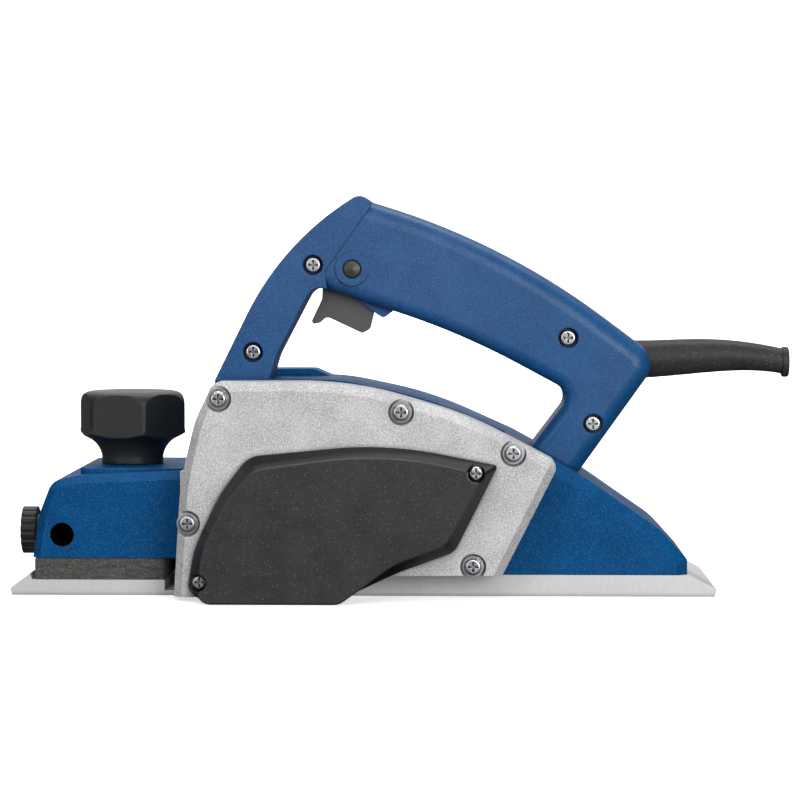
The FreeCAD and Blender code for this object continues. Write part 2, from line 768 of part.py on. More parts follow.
def belt_loop(drum_radius, motor_radius):
    """Closed tangent outline round both pulley axes."""
    drum = Vector(size["drum_x"], size["drum_z"], 0)
    motor = Vector(size["motor_x"], size["motor_z"], 0)
    way = motor - drum
    distance = way.Length
    heading = math.atan2(way.y, way.x)
    lean = math.acos((drum_radius - motor_radius) / distance)

    def point(centre, radius, angle):
        return centre + Vector(radius * math.cos(angle), radius * math.sin(angle), 0)
    upper = heading + lean
    lower = heading - lean
    return [
        Part.LineSegment(point(drum, drum_radius, upper), point(motor, motor_radius, upper)),
        Part.Arc(point(motor, motor_radius, upper), point(motor, motor_radius, heading),
                 point(motor, motor_radius, lower)),
        Part.LineSegment(point(motor, motor_radius, lower), point(drum, drum_radius, lower)),
        Part.Arc(point(drum, drum_radius, lower), point(drum, drum_radius, heading + math.pi),
                 point(drum, drum_radius, upper)),
    ]


# ---------------------------------------------------------------- motor
def make_armature_shaft():
    body = new_body("armature_shaft")
    radius = size["shaft_radius"] - size["running_gap"]
    near = pulley_span()[0] + 0.2
    far = across("motor_depth") - size["motor_seat"] - 0.6
    turned_along_y(body, "motor_x", "motor_z", polygon([
        (0, near), (radius - 0.6, near), (radius, near + 0.6), (radius, far), (0, far)]))
    return body


def motor_ring(label, outer, inner, near, far):
    body = new_body(label)
    turned_along_y(body, "motor_x", "motor_z", ring(outer, inner, near, far))
    return body


def make_armature_core():
    body = motor_ring("armature_core", 17.0, size["shaft_radius"], -20.0, 14.0)
    slots = []
    for number in range(12):
        angle = 2 * math.pi * number / 12
        slots += circle(size["motor_x"] + 15.2 * math.cos(angle), size["motor_z"] + 15.2 * math.sin(angle), 1.4)
    pocket(body, "XZ_Plane", "-21", "15", slots)
    return body


def make_armature_windings():
    body = new_body("armature_windings")
    for near, far in ((-26.5, -20.0), (14.0, 22.0)):
        turned_along_y(body, "motor_x", "motor_z", rounded([
            (size["shaft_radius"], near, 0), (14.5, near, 3), (14.5, far, 3), (size["shaft_radius"], far, 0)]))
    return body


def make_commutator():
    body = motor_ring("commutator", 11.0, size["shaft_radius"], 23.0, 37.0)
    cuts = []
    for number in range(16):
        angle = 2 * math.pi * number / 16
        cuts += circle(size["motor_x"] + 11.1 * math.cos(angle), size["motor_z"] + 11.1 * math.sin(angle), 0.35)
    pocket(body, "XZ_Plane", "22", "38", cuts)
    return body


def make_cooling_fan():
    body = motor_ring("cooling_fan", 25.0, size["shaft_radius"], -30.0, -28.6)
    blades = []
    for number in range(12):
        angle = 2 * math.pi * number / 12
        blades += slot(size["motor_x"] + 17.5 * math.cos(angle), size["motor_z"] + 17.5 * math.sin(angle),
                       6.0, 0.7, angle + 0.5)
    pad(body, "XZ_Plane", "-38", "-29.4", blades)
    turned_along_y(body, "motor_x", "motor_z", ring(8.0, size["shaft_radius"], -36.0, -29.4))
    return body


def make_stator_core():
    body = motor_ring("stator_core", size["motor_bore"] - 0.3, 24.0, -18.0, 12.0)
    poles = []
    for sign in (1, -1):
        x = size["motor_x"]
        z = size["motor_z"]
        poles.append(rounded([
            (x - 9.0, z + sign * 24.6, 0), (x + 9.0, z + sign * 24.6, 0),
            (x + 12.5, z + sign * 18.2, 0), (x - 12.5, z + sign * 18.2, 0)]))
    pad(body, "XZ_Plane", "-18", "12", [piece for pole in poles for piece in pole])
    return body


def make_field_coils():
    body = new_body("field_coils")
    loops = []
    for sign in (1, -1):
        x = size["motor_x"] + sign * 19.6
        loops += rounded([
            (x, size["motor_z"] - 6.0, 0), (x + sign * 3.4, size["motor_z"] - 6.0, 2),
            (x + sign * 3.4, size["motor_z"] + 6.0, 2), (x, size["motor_z"] + 6.0, 0)])
    pad(body, "XZ_Plane", "-23", "17", loops)
    return body


def brush_boxes(label, half, inner, outer, near, far):
    """Two opposite blocks reaching from the inner to the outer radius, level with the motor axis."""
    body = new_body(label)
    loops = []
    for sign in (1, -1):
        x = size["motor_x"]
        loops += box(min(x + sign * inner, x + sign * outer), max(x + sign * inner, x + sign * outer),
                     size["motor_z"] - half, size["motor_z"] + half)
    pad(body, "XZ_Plane", near, far, loops)
    return body


def make_brushes():
    return brush_boxes("carbon_brushes", 3.0, 11.2, 22.0, "27", "33")


def make_brush_holders():
    body = brush_boxes("brush_holders", 4.2, 14.0, 28.0, "25.6", "34.4")
    loops = []
    for sign in (1, -1):
        x = size["motor_x"]
        loops += box(min(x + sign * 13.0, x + sign * 29.0), max(x + sign * 13.0, x + sign * 29.0),
                     size["motor_z"] - 3.1, size["motor_z"] + 3.1)
    pocket(body, "XZ_Plane", "26.9", "33.1", loops)
    return body


# ---------------------------------------------------------------- body housing and motor cover
def make_body_housing():
    body = new_body("body_housing")
    top = size["body_top"]
    rear = size["body_rear"]
    pad(body, "XZ_Plane", "-side", "side", rounded([
        (size["frame_rear"] + 0.1, size["sole_thick"], 0), (rear, size["sole_thick"], 0),
        (rear, 14.8, 0), (122.4, 26.8, 30), (91.0, body_line(91.0), 60), (62.0, body_line(62.0), 40),
        (27.0, 80.2, 160), (-10.0, top, 90), (-61.2, top, 0), (-71.8, size["frame_top"], 0),
        (size["frame_rear"] + 0.1, size["frame_top"], 0),
    ]))
    near = -size["side"]
    far = size["side"]

    def rear_rim(edge):
        centre = edge.BoundBox.Center
        return level(edge, "Y", near) and centre.x > 80 and centre.z > size["sole_thick"] + 2
    dress(body, "Chamfer", "body_bevel", rear_rim)

    def far_rim(edge):
        centre = edge.BoundBox.Center
        return level(edge, "Y", far) and centre.z > size["sole_thick"] + 2 and centre.z > size["frame_top"] - 30 \
            and edge.BoundBox.XMin > size["frame_rear"] - 60 and edge.BoundBox.ZMax > size["frame_top"] + 1
    dress(body, "Fillet", "body_bevel", far_rim)
    lip = size["rim_lip"]
    pad(body, "XZ_Plane", "-side", "-side + rim_width", rounded([
        (-61.0, 80.0, 0), (58.0, 60.0, 0), (58.0, body_line(58.0) + lip, 0), (27.0, 80.2 + lip, 160),
        (-10.0, top + lip, 90), (-61.0, top + lip, 0)]))
    crown = top + size["duct_hump"]
    pad(body, "XZ_Plane", "handle_half + 2", "side - body_bevel", rounded([
        (-60.5, 80.0, 0), (-14.6, 80.0, 0), (-14.6, top - 0.8, 0), (-23.2, crown, 6), (-58.0, crown, 3)]))
    pocket(body, "XZ_Plane", "-side - 1", "side + 1",
           circle(size["motor_x"], size["motor_z"], size["motor_bore"]))
    duct = circle(size["drum_x"], size["duct_z"], size["duct_radius"])
    pocket(body, "XZ_Plane", "-30", "side + 1", duct)
    pocket(body, "XY_Plane", "frame_top - 1", "duct_z",
           box(size["drum_x"] - 10, size["drum_x"] + 10, -30, 30))
    holes = []
    for x, z in BRACKET_SCREWS:
        if z > size["frame_top"] or x > 0:
            holes += circle(x, z, size["screw_shank"])
    pocket(body, "XZ_Plane", "-side - 1", "-side + 3", holes)
    return body


def make_motor_cover():
    body = new_body("motor_cover")
    turned_along_y(body, "motor_x", "motor_z", rounded([
        (0, size["side"], 0), (size["cover_radius"], size["side"], 0),
        (size["cover_radius"] - 1.5, across("motor_depth"), 9), (0, across("motor_depth"), 0)]))
    cavity = across("motor_depth") - size["motor_wall"]
    boss = across("motor_depth") - size["motor_boss"]
    seat = across("motor_depth") - size["motor_seat"]
    bearing = size["bearing_radius"]
    turned_along_y(body, "motor_x", "motor_z", polygon([
        (0, size["side"] - 1), (size["motor_bore"], size["side"] - 1), (size["motor_bore"], cavity),
        (bearing + 3, cavity), (bearing + 3, boss), (bearing, boss), (bearing, seat), (0, seat)]), "Groove")
    vents = []
    for number in range(9):
        x = size["motor_x"] - 18.0 + 4.5 * number
        span = math.sqrt(24.0 ** 2 - (4.5 * (number - 4)) ** 2)
        for sign in (1, -1):
            vents += slot(x, size["motor_z"] + sign * (13.0 + span) / 2, (span - 13.0) / 2 - 1.0, 1.1, math.pi / 2)
    pocket(body, "XZ_Plane", "side + motor_depth - motor_boss", "side + motor_depth + 1", vents)
    screws = []
    for angle in (45, 135, 225, 315):
        screws += circle(size["motor_x"] + 27.0 * math.cos(math.radians(angle)),
                         size["motor_z"] + 27.0 * math.sin(math.radians(angle)), 3.6)
    pocket(body, "XZ_Plane", "side + motor_depth - 6", "side + motor_depth + 1", screws)
    return body


def make_motor_cover_screws():
    body = new_body("motor_cover_screws")
    heads = []
    recesses = []
    for angle in (45, 135, 225, 315):
        x = size["motor_x"] + 27.0 * math.cos(math.radians(angle))
        z = size["motor_z"] + 27.0 * math.sin(math.radians(angle))
        heads += circle(x, z, 3.0)
        recesses += cross(x, z)
    pad(body, "XZ_Plane", "side + motor_depth - 6", "side + motor_depth - 4", heads)
    pocket(body, "XZ_Plane", "side + motor_depth - 5", "side + motor_depth - 3", recesses)
    return body


def make_chip_outlet():
    body = new_body("chip_outlet")
    inner = size["outlet_bore"]
    far = across("outlet_length")
    turned_along_y(body, "drum_x", "duct_z", rounded([
        (inner, size["side"], 0), (inner + 5.5, size["side"], 1), (inner + 5.5, size["side"] + 3, 1),
        (inner + 2.4, size["side"] + 3, 1), (inner + 2.0, far - 2, 0), (inner + 2.8, far - 2, 0),
        (inner + 2.8, far, 0.6), (inner, far, 0)]))
    return body


# ---------------------------------------------------------------- handle
HANDLE_SCREWS = [(-47.3, 99.4), (-22.1, 135.9), (84.7, 105.4), (95.2, 69.4)]


def strut_outline():
    """Side view of the flat front strut, up to its seam with the rounded grip."""
    seat = size["body_top"]
    return rounded([
        (-63.2, seat, 0), (-34.8, 145.6, 120), (-2.4, 165.8, 5), (2.4, 162.3, 0), (1.4, 159.6, 0),
        (-17.4, 133.2, 0), (-16.2, 125.7, 0), (-21.9, 127.6, 6.5), (-37.6, 97.5, 25), (-40.3, seat, 0),
    ])


def grip_outline():
    """Side view of the rounded grip and the rear leg; the front end is buried in the strut."""
    return rounded([
        (-17.6, 126.2, 0), (-19.0, 140.0, 0), (-4.0, 164.2, 0), (57.7, 145.5, 300),
        (118.8, 99.8, 8.3), (119.8, 91.3, 8.3), (89.8, body_line(89.8), 0), (69.8, body_line(69.8), 0),
        (86.5, 82.3, 6.5), (40.2, 107.2, 310),
    ])


def trigger_outline(gap):
    """Trigger side view grown by a gap: hooked tip, curved finger face and a root inside the grip."""
    return rounded([
        (-18.6 - gap, 126.5, 0), (-18.8 - gap, 121.5, 4), (-24.0 - gap, 110.6 - gap, 1.2),
        (-20.0, 111.4 - gap, 1.5), (-17.0, 114.2 - gap, 3), (-1.8, 107.1 - gap, 1.2), (1.2 + gap, 108.6, 2),
        (3.6 + gap, 118.6, 0), (0.0 + gap, 127.0, 0), (-14.0, 133.0 + gap, 0),
    ])


def handle_half(label, near, far):
    """Rounded grip and rear leg, the flat strut standing proud of them, and the lug behind the trigger."""
    body = new_body(label)
    left = label == "handle_left"
    pad(body, "XZ_Plane", near, far, grip_outline())
    outer = -size["handle_half"] if left else size["handle_half"]

    def inside(edge):
        limits = edge.BoundBox
        return limits.XMin > -41 and limits.XMax < 87 and limits.ZMax < 128 and limits.ZMin > 58

    def is_end(edge):
        limits = edge.BoundBox
        return limits.XMax < -3.9 or (limits.XMin > 69 and limits.XMax < 91 and limits.ZMax < 61)
    dress(body, "Fillet", "grip_round",
          lambda edge: level(edge, "Y", outer) and not inside(edge) and not is_end(edge))
    dress(body, "Fillet", "grip_under",
          lambda edge: level(edge, "Y", outer) and inside(edge) and not is_end(edge))
    pad(body, "XZ_Plane", near + " - strut_proud" if left else near, far if left else far + " + strut_proud",
        strut_outline())
    proud = outer - size["strut_proud"] if left else outer + size["strut_proud"]

    def on_seam(edge):
        return edge.BoundBox.XMin > -17.6 and edge.BoundBox.ZMax < 162.5
    dress(body, "Fillet", "strut_edge",
          lambda edge: level(edge, "Y", proud) and edge.BoundBox.ZMax > size["body_top"] + 1 and not on_seam(edge))
    pad(body, "XZ_Plane", "-8" if left else "0", "0" if left else "8", rounded([
        (-7.0, 122.9, 0), (7.2, 113.4, 2.0), (11.6, 116.8, 0), (9.0, 119.0, 0), (-4.0, 124.0, 0)]))
    return body


def carve_handle(body):
    """Hollows shared by both halves: switch, trigger slot, cord guard seat."""
    pocket(body, "XZ_Plane", "-trigger_half - 0.5", "trigger_half + 0.5", rounded([
        (-19.4, 124.5, 0), (-25.0, 110.0, 0), (-20.0, 105.0, 0), (3.0, 105.0, 0), (8.6, 126.0, 0),
        (4.0, 136.5, 0), (-12.0, 142.5, 0), (-16.5, 134.5, 0)]))
    pocket(body, "XZ_Plane", "-switch_half - fit_gap", "switch_half + fit_gap", switch_outline(size["fit_gap"]))
    turn(body, "Groove", "XY_Plane", ("0", "0", "96.0"), "H_Axis", polygon([
        (size["guard_start"], 0), (size["guard_start"], 10.2), (size["guard_start"] + 3, 10.2),
        (size["guard_start"] + 3, size["guard_root"] + 0.1), (size["guard_start"] + 20, size["guard_root"] + 0.1),
        (size["guard_start"] + 20, 0)]))
    return body


def make_handle_left():
    body = handle_half("handle_left", "-handle_half", "0")
    pad(body, "XZ_Plane", "-handle_half - 0.9", "-handle_half + 2",
        circle(size["button_x"], size["button_z"], size["button_ring"]))
    carve_handle(body)
    pocket(body, "XZ_Plane", "-handle_half - 2", "1",
           circle(size["button_x"], size["button_z"], size["button_radius"] + 0.1))
    seats = []
    holes = []
    for x, z in HANDLE_SCREWS:
        seats += circle(x, z, 4.3)
        holes += circle(x, z, size["screw_shank"])
    pocket(body, "XZ_Plane", "-handle_half - 1", "-handle_half + 3", seats)
    pocket(body, "XZ_Plane", "-handle_half - 1", "1", holes)
    return body


def make_handle_right():
    body = handle_half("handle_right", "0", "handle_half")
    carve_handle(body)
    holes = []
    for x, z in HANDLE_SCREWS:
        holes += circle(x, z, size["screw_shank"] - 0.2)
    pocket(body, "XZ_Plane", "-1", "handle_half - 5", holes)
    return body


def make_handle_screws():
    return make_screws("handle_screws", HANDLE_SCREWS, "-handle_half + 3", "handle_half - 6")


def make_trigger():
    body = new_body("trigger")
    pad(body, "XZ_Plane", "-trigger_half", "trigger_half", trigger_outline(0.0))
    return body


def make_lock_button():
    body = new_body("lock_button")
    turned_along_y(body, "button_x", "button_z", rounded([
        (0, -size["handle_half"] - 1.6, 0), (size["button_radius"], -size["handle_half"] - 0.9, 1.2),
        (size["button_radius"], -10.0, 0), (0, -10.0, 0)]))
    return body


def switch_outline(gap):
    """Box of the switch, lying along the grip, grown by a gap."""
    lean = math.radians(-23.0)
    along = Vector(math.cos(lean), math.sin(lean), 0)
    across = Vector(-along.y, along.x, 0)
    centre = Vector(20.5, 127.0, 0)
    reach = 13.5 + gap
    rise = 6.0 + gap
    corners = [centre + along * a * reach + across * b * rise for a, b in ((-1, -1), (1, -1), (1, 1), (-1, 1))]
    return polygon([(corner.x, corner.y) for corner in corners])


def make_switch_body():
    body = new_body("switch_body")
    pad(body, "XZ_Plane", "-switch_half", "switch_half", switch_outline(0.0))
    return body


def make_cord_guard():
    body = new_body("cord_guard")
    stations = [
        (size["guard_start"] + 3.2, 96.0, size["guard_root"]), (132.6, 96.9, 7.6), (149.5, 97.6, 6.8),
        (165.0, 96.9, 5.8), (size["guard_tip"], 95.2, size["guard_end"]),
    ]
    sketches = []
    for x, z, radius in stations:
        sketch = body.newObject("Sketcher::SketchObject", "guard_section")
        planes = [item for item in body.Origin.OriginFeatures if item.Role == "YZ_Plane"]
        sketch.AttachmentSupport = [(planes[0], "")]
        sketch.MapMode = "FlatFace"
        sketch.AttachmentOffset = FreeCAD.Placement(Vector(0, z, x), FreeCAD.Rotation())
        sketch.addGeometry(circle(0, 0, radius)[0], False)
        sketches.append(sketch)
    loft = body.newObject("PartDesign::AdditiveLoft", "guard_loft")
    loft.Profile = sketches[0]
    loft.Sections = sketches[1:]
    document.recompute()
    turn(body, "Revolution", "XY_Plane", ("0", "0", "96.0"), "H_Axis", polygon([
        (size["guard_start"] + 0.2, 0), (size["guard_start"] + 0.2, 9.9), (size["guard_start"] + 2.8, 9.9),
        (size["guard_start"] + 2.8, size["guard_root"]), (size["guard_start"] + 4, size["guard_root"] - 0.4),
        (size["guard_start"] + 4, 0)]))
    turn(body, "Revolution", "XY_Plane", ("0", "0", "94.9"), "H_Axis", rounded([
        (size["guard_tip"] - 0.6, 0, 0), (size["guard_tip"] - 0.6, 6.4, 0.8),
        (size["guard_tip"] + 2.4, 6.4, 0.8), (size["guard_tip"] + 2.4, 0, 0)]))
    turn(body, "Groove", "XY_Plane", ("0", "0", "94.9"), "H_Axis", box(
        size["guard_tip"] - 14, size["guard_tip"] + 4, 0, size["cord_hole"]))
    return body


# ---------------------------------------------------------------- build, check and export
def build_all():
    make_rear_base()
    make_front_shoe()
    make_foam_seal()
    make_front_housing()
    make_depth_knob()
    make_depth_spindle()
    make_fence_knob()
    make_fence_screw()
    make_side_bracket()
    make_belt_cover()
    make_bracket_screws()
    make_bracket_washers()
    make_cover_screws()
    make_cutter_drum()
    make_set_plates()
    make_blades()
    make_clamp_plates()
    make_blade_bolts()
    make_bearings("drum_bearings_outer", "drum", size["bearing_radius"], 9.0, 6.7)
    make_bearings("drum_bearings_inner", "drum", 6.4, size["shaft_radius"], 0)
    make_bearings("motor_bearings_outer", "motor", size["bearing_radius"], 9.0, 6.7)
    make_bearings("motor_bearings_inner", "motor", 6.4, size["shaft_radius"], 0)
    make_pulley("drum_pulley", "drum", size["drum_pulley"])
    make_pulley("motor_pulley", "motor", size["motor_pulley"])
    make_drive_belt()
    make_armature_shaft()
    make_armature_core()
    make_armature_windings()
    make_commutator()
    make_cooling_fan()
    make_stator_core()
    make_field_coils()
    make_brushes()
    make_brush_holders()
    make_body_housing()
    make_motor_cover()
    make_motor_cover_screws()
    make_chip_outlet()
    make_handle_left()
    make_handle_right()
    make_handle_screws()
    make_trigger()
    make_lock_button()
    make_switch_body()
    make_cord_guard()


def export_all():
    document.recompute()
    for item in document.Objects:
        if "Invalid" in item.State or "Error" in item.State:
            raise RuntimeError("unsound object: " + item.Label)
    os.makedirs("parts", exist_ok=True)
    for part in sub_parts:
        if part.Shape.isNull() or not part.Shape.isValid():
            raise RuntimeError("unsound shape: " + part.Label)
        part.Shape.exportStep(os.path.join("parts", part.Label + ".step"))


build_all()
export_all()
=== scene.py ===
import json
import math

import bmesh
import bpy
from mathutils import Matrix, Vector, noise


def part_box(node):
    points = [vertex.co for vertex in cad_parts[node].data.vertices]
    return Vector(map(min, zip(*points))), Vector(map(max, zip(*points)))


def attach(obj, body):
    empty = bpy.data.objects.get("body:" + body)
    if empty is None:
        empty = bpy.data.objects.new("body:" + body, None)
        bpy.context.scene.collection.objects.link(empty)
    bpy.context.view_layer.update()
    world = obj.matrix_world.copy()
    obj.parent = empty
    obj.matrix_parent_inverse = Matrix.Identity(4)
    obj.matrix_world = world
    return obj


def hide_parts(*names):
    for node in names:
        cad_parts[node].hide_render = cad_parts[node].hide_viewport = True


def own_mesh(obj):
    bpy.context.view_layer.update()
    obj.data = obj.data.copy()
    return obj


bl_info = {
    "name": "Electric hand planer",
    "version": (1, 0, 0),
    "blender": (4, 5, 0),
    "location": "3D View > Sidebar > Planer",
    "description": "Dresses the hand planer with its finishes and trims, and sets it in a small studio",
    "category": "Object",
}

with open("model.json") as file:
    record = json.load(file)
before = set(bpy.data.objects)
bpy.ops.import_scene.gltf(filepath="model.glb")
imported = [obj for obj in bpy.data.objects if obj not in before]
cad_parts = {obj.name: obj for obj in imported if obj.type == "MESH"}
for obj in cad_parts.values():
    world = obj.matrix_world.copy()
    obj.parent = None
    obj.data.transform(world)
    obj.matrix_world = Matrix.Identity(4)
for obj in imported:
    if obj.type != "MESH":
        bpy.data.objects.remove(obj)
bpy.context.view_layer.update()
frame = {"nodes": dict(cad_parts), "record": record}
NODES = frame["nodes"]
FOAM_LOW, FOAM_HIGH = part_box("foam_seal")
COVER_FACE_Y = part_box("belt_cover")[0].y
MILLIMETRE = 0.001
ROD_BORE = next(mount for mount in frame["record"]["mounts"] if mount["name"] == "fence_rod_bore")


# ---------------------------------------------------------------- sizes and colours that a user may change
def srgb(red, green, blue):
    """An 8-bit display colour as the linear colour that Blender works in."""
    parts = []
    for part in (red, green, blue):
        share = part / 255.0
        parts.append(share / 12.92 if share <= 0.04045 else ((share + 0.055) / 1.055) ** 2.4)
    return (*parts, 1.0)


def colour(name, description, value):
    return bpy.props.FloatVectorProperty(
        name=name, description=description, subtype="COLOR", size=4, min=0.0, max=1.0, default=value)


def length(name, description, value):
    return bpy.props.FloatProperty(
        name=name, description=description, unit="LENGTH", min=0.0, precision=5, default=value)


class PlanerColours(bpy.types.PropertyGroup):
    """Colours of the planer's finishes."""
    blue: colour("Blue plastic", "Base colour of the housings and the handle", srgb(6, 80, 133))
    blue_fleck: colour("Blue flecks", "Flecks moulded into the blue plastic", srgb(84, 140, 188))
    # painted light: paler blue laid on the upper handle as light and reflection from above
    blue_painted_light: colour("Blue with painted light", "Paler blue painted on the upper handle as light from above", srgb(46, 88, 138))
    casting: colour("Bracket paint", "Silver hammered paint of the side bracket", srgb(208, 208, 208))
    casting_pit: colour("Bracket paint hollows", "Darker hollows of the hammered paint", srgb(158, 158, 158))
    cover: colour("Belt cover", "Dark grey of the textured belt cover", srgb(32, 33, 33))
    cover_rim: colour("Belt cover rim", "Glossy border of the belt cover", srgb(12, 12, 13))
    knob: colour("Depth knob", "Satin black of the depth knob and the fence knob", srgb(30, 32, 32))
    sole: colour("Sole", "Machined aluminium of the sole and the shoe", srgb(214, 214, 215))
    foam: colour("Foam", "Dark cells of the foam seal", srgb(52, 52, 52))
    foam_light: colour("Foam skin", "Lighter streaks of the foam seal", srgb(112, 110, 106))
    zinc: colour("Zinc", "Bright zinc of the screws and washers", srgb(205, 207, 210))
    steel: colour("Steel", "Ground and turned steel", srgb(176, 178, 181))
    copper: colour("Copper", "Winding wire and commutator bars", srgb(190, 108, 62))
    rubber: colour("Rubber", "Cord guard and drive belt", srgb(40, 41, 42))
    trigger: colour("Trigger", "Warm dark grey of the trigger", srgb(66, 64, 64))
    button: colour("Lock button", "Olive black of the lock button", srgb(44, 46, 38))


class PlanerDetail(bpy.types.PropertyGroup):
    """Sizes of the fine detail in the finishes and trims."""
    edge: length("Moulded edge", "Width of the rounding on moulded and cast edges", 0.0006)
    ground_edge: length("Ground edge", "Width of the rounding on ground metal edges", 0.00025)
    fleck: length("Fleck spacing", "Spacing of the flecks in the blue plastic", 0.0007)
    hammer: length("Hammer spacing", "Spacing of the hammered paint's hollows", 0.0010)
    # painted shade: how far the darkening of corners, seams and wells reaches
    crevice: length("Crevice", "How far dirt and shade reach out of a corner or a well", 0.0028)
    seam: length("Seam", "How far the shade of a seam reaches on the blue plastic", 0.0018)
    spark: length("Spark texture", "Grain of the moulded texture on dark plastic", 0.0007)
    foam_cell: length("Foam cell", "Size of one cell of the foam seal", 0.0007)
    foam_mesh: length("Foam mesh", "Spacing of the foam seal's mesh", 0.0009)
    foam_wave: length("Foam wave", "How far the foam's sides dip in and out", 0.0004)
    rim_bead: length("Rim bead", "Radius of the bead along the belt cover's panel", 0.0005)


class PlanerStudio(bpy.types.PropertyGroup):
    """Camera, lights and sky."""
    camera_place: bpy.props.FloatVectorProperty(
        name="Camera", description="Place of the camera", subtype="XYZ", unit="LENGTH", size=3,
        default=(0.043, -1.209, 0.140))
    camera_aim: bpy.props.FloatVectorProperty(
        name="Aim", description="Point that the camera looks at", subtype="XYZ", unit="LENGTH", size=3,
        default=(0.015, -0.043, 0.0807))
    lens: bpy.props.FloatProperty(
        name="Lens", description="Focal length in millimetres", unit="CAMERA", default=128.2)
    key_power: bpy.props.FloatProperty(
        name="Key light", description="Power of the long front light", unit="POWER", default=9.0)
    fill_power: bpy.props.FloatProperty(
        name="Fill light", description="Power of the low front light", unit="POWER", default=16.5)
    side_power: bpy.props.FloatProperty(
        name="Side light", description="Power of the light from the knob's end", unit="POWER", default=5.0)
    sweep_power: bpy.props.FloatProperty(
        name="Sweep light", description="Power of the light on the paper sweep", unit="POWER", default=60.0)
    sky: bpy.props.FloatProperty(
        name="Sky", description="Strength of the even light all round", default=0.09)


# ---------------------------------------------------------------- wiring of shader nodes
MIX_FIRST, MIX_SECOND, MIX_RESULT = 6, 7, 2
RAYS = 6  # samples of each edge and crevice node


class Wiring:
    """Adds nodes to one tree, left to right, and joins them."""

    def __init__(self, tree):
        self.tree = tree
        self.count = 0

    def add(self, kind, sockets=None, **settings):
        node = self.tree.nodes.new(kind)
        node.location = (self.count * 170.0, -(self.count % 3) * 160.0)
        self.count += 1
        for name, value in settings.items():
            setattr(node, name, value)
        for name, value in (sockets or {}).items():
            self.join(value, node.inputs[name])
        return node

    def join(self, value, socket):
        if isinstance(value, bpy.types.NodeSocket):
            self.tree.links.new(value, socket)
        else:
            socket.default_value = value

    def filled(self, tree, sockets):
        node = self.add("ShaderNodeGroup", None, node_tree=tree)
        for name, value in sockets.items():
            self.join(value, node.inputs[name])
        return node.outputs

    def sum(self, operation, first, second=0.0, third=0.0, clamp=False):
        return self.add("ShaderNodeMath", {0: first, 1: second, 2: third},
                        operation=operation, use_clamp=clamp).outputs[0]

    def spread(self, value, low, high, to_low=0.0, to_high=1.0):
        return self.add("ShaderNodeMapRange", {
            "Value": value, "From Min": low, "From Max": high, "To Min": to_low, "To Max": to_high,
        }, interpolation_type="SMOOTHSTEP").outputs["Result"]

    def mix(self, share, first, second):
        """Mixes two colours. The node has several sockets of each name, so they are picked by number."""
        return self.add("ShaderNodeMix", {0: share, MIX_FIRST: first, MIX_SECOND: second},
                        data_type="RGBA").outputs[MIX_RESULT]

    def noise(self, place, scale, detail=2.0, roughness=0.5, distortion=0.0):
        return self.add("ShaderNodeTexNoise", {
            "Vector": place, "Scale": scale, "Detail": detail,
            "Roughness": roughness, "Distortion": distortion,
        }).outputs["Fac"]


def shared(name, inputs, outputs, build):
    """A shader node group with named inputs and outputs, built once."""
    if name in bpy.data.node_groups:
        return bpy.data.node_groups[name]
    tree = bpy.data.node_groups.new(name, "ShaderNodeTree")
    for label, kind, value in inputs:
        socket = tree.interface.new_socket(label, in_out="INPUT", socket_type=kind)
        if value is not None:
            socket.default_value = value
    for label, kind in outputs:
        tree.interface.new_socket(label, in_out="OUTPUT", socket_type=kind)
    wires = Wiring(tree)
    taken = wires.add("NodeGroupInput").outputs
    given = wires.add("NodeGroupOutput").inputs
    for label, value in build(wires, taken).items():
        wires.join(value, given[label])
    return tree


def moulded_grain():
    """Spark-eroded mould texture: a pebbled relief, and a slow mottle of its shade."""
    def build(wires, taken):
        place = taken["Vector"]
        pebbles = wires.add("ShaderNodeTexVoronoi", {"Vector": place, "Scale": taken["Scale"]},
                            feature="SMOOTH_F1").outputs["Distance"]
        grit = wires.noise(place, wires.sum("MULTIPLY", taken["Scale"], 1.9), detail=3.0, roughness=0.6)
        height = wires.sum("MULTIPLY_ADD", pebbles, 0.6, wires.sum("MULTIPLY", grit, 0.6))
        slow = wires.noise(place, wires.sum("MULTIPLY", taken["Scale"], 0.06), detail=4.0, roughness=0.65)
        quick = wires.noise(place, wires.sum("MULTIPLY", taken["Scale"], 1.5), detail=2.0, roughness=0.7)
        shade = wires.sum("MULTIPLY_ADD", slow, 0.3, wires.sum("MULTIPLY", quick, 0.7))
        return {"Height": height, "Shade": wires.spread(shade, 0.38, 0.62)}
    return shared("Moulded grain", [
        ("Vector", "NodeSocketVector", None), ("Scale", "NodeSocketFloat", 1400.0),
    ], [("Height", "NodeSocketFloat"), ("Shade", "NodeSocketFloat")], build)


def metal_flecks():
    """Bright flecks scattered through a plastic or a paint, each with its own brightness."""
    def build(wires, taken):
        cells = wires.add("ShaderNodeTexVoronoi", {"Vector": taken["Vector"], "Scale": taken["Scale"]},
                          feature="F1")
        chance = wires.add("ShaderNodeSeparateColor", {"Color": cells.outputs["Color"]}).outputs
        least = wires.sum("SUBTRACT", 1.0, taken["Share"])
        picked = wires.sum("GREATER_THAN", chance["Red"], least)
        spot = wires.spread(cells.outputs["Distance"], 0.16, 0.42, 1.0, 0.0)
        glow = wires.sum("MULTIPLY_ADD", chance["Green"], 0.7, 0.3)
        return {"Mask": wires.sum("MULTIPLY", wires.sum("MULTIPLY", picked, spot), glow)}
    return shared("Metal flecks", [
        ("Vector", "NodeSocketVector", None), ("Scale", "NodeSocketFloat", 1100.0),
        ("Share", "NodeSocketFloat", 0.3),
    ], [("Mask", "NodeSocketFloat")], build)


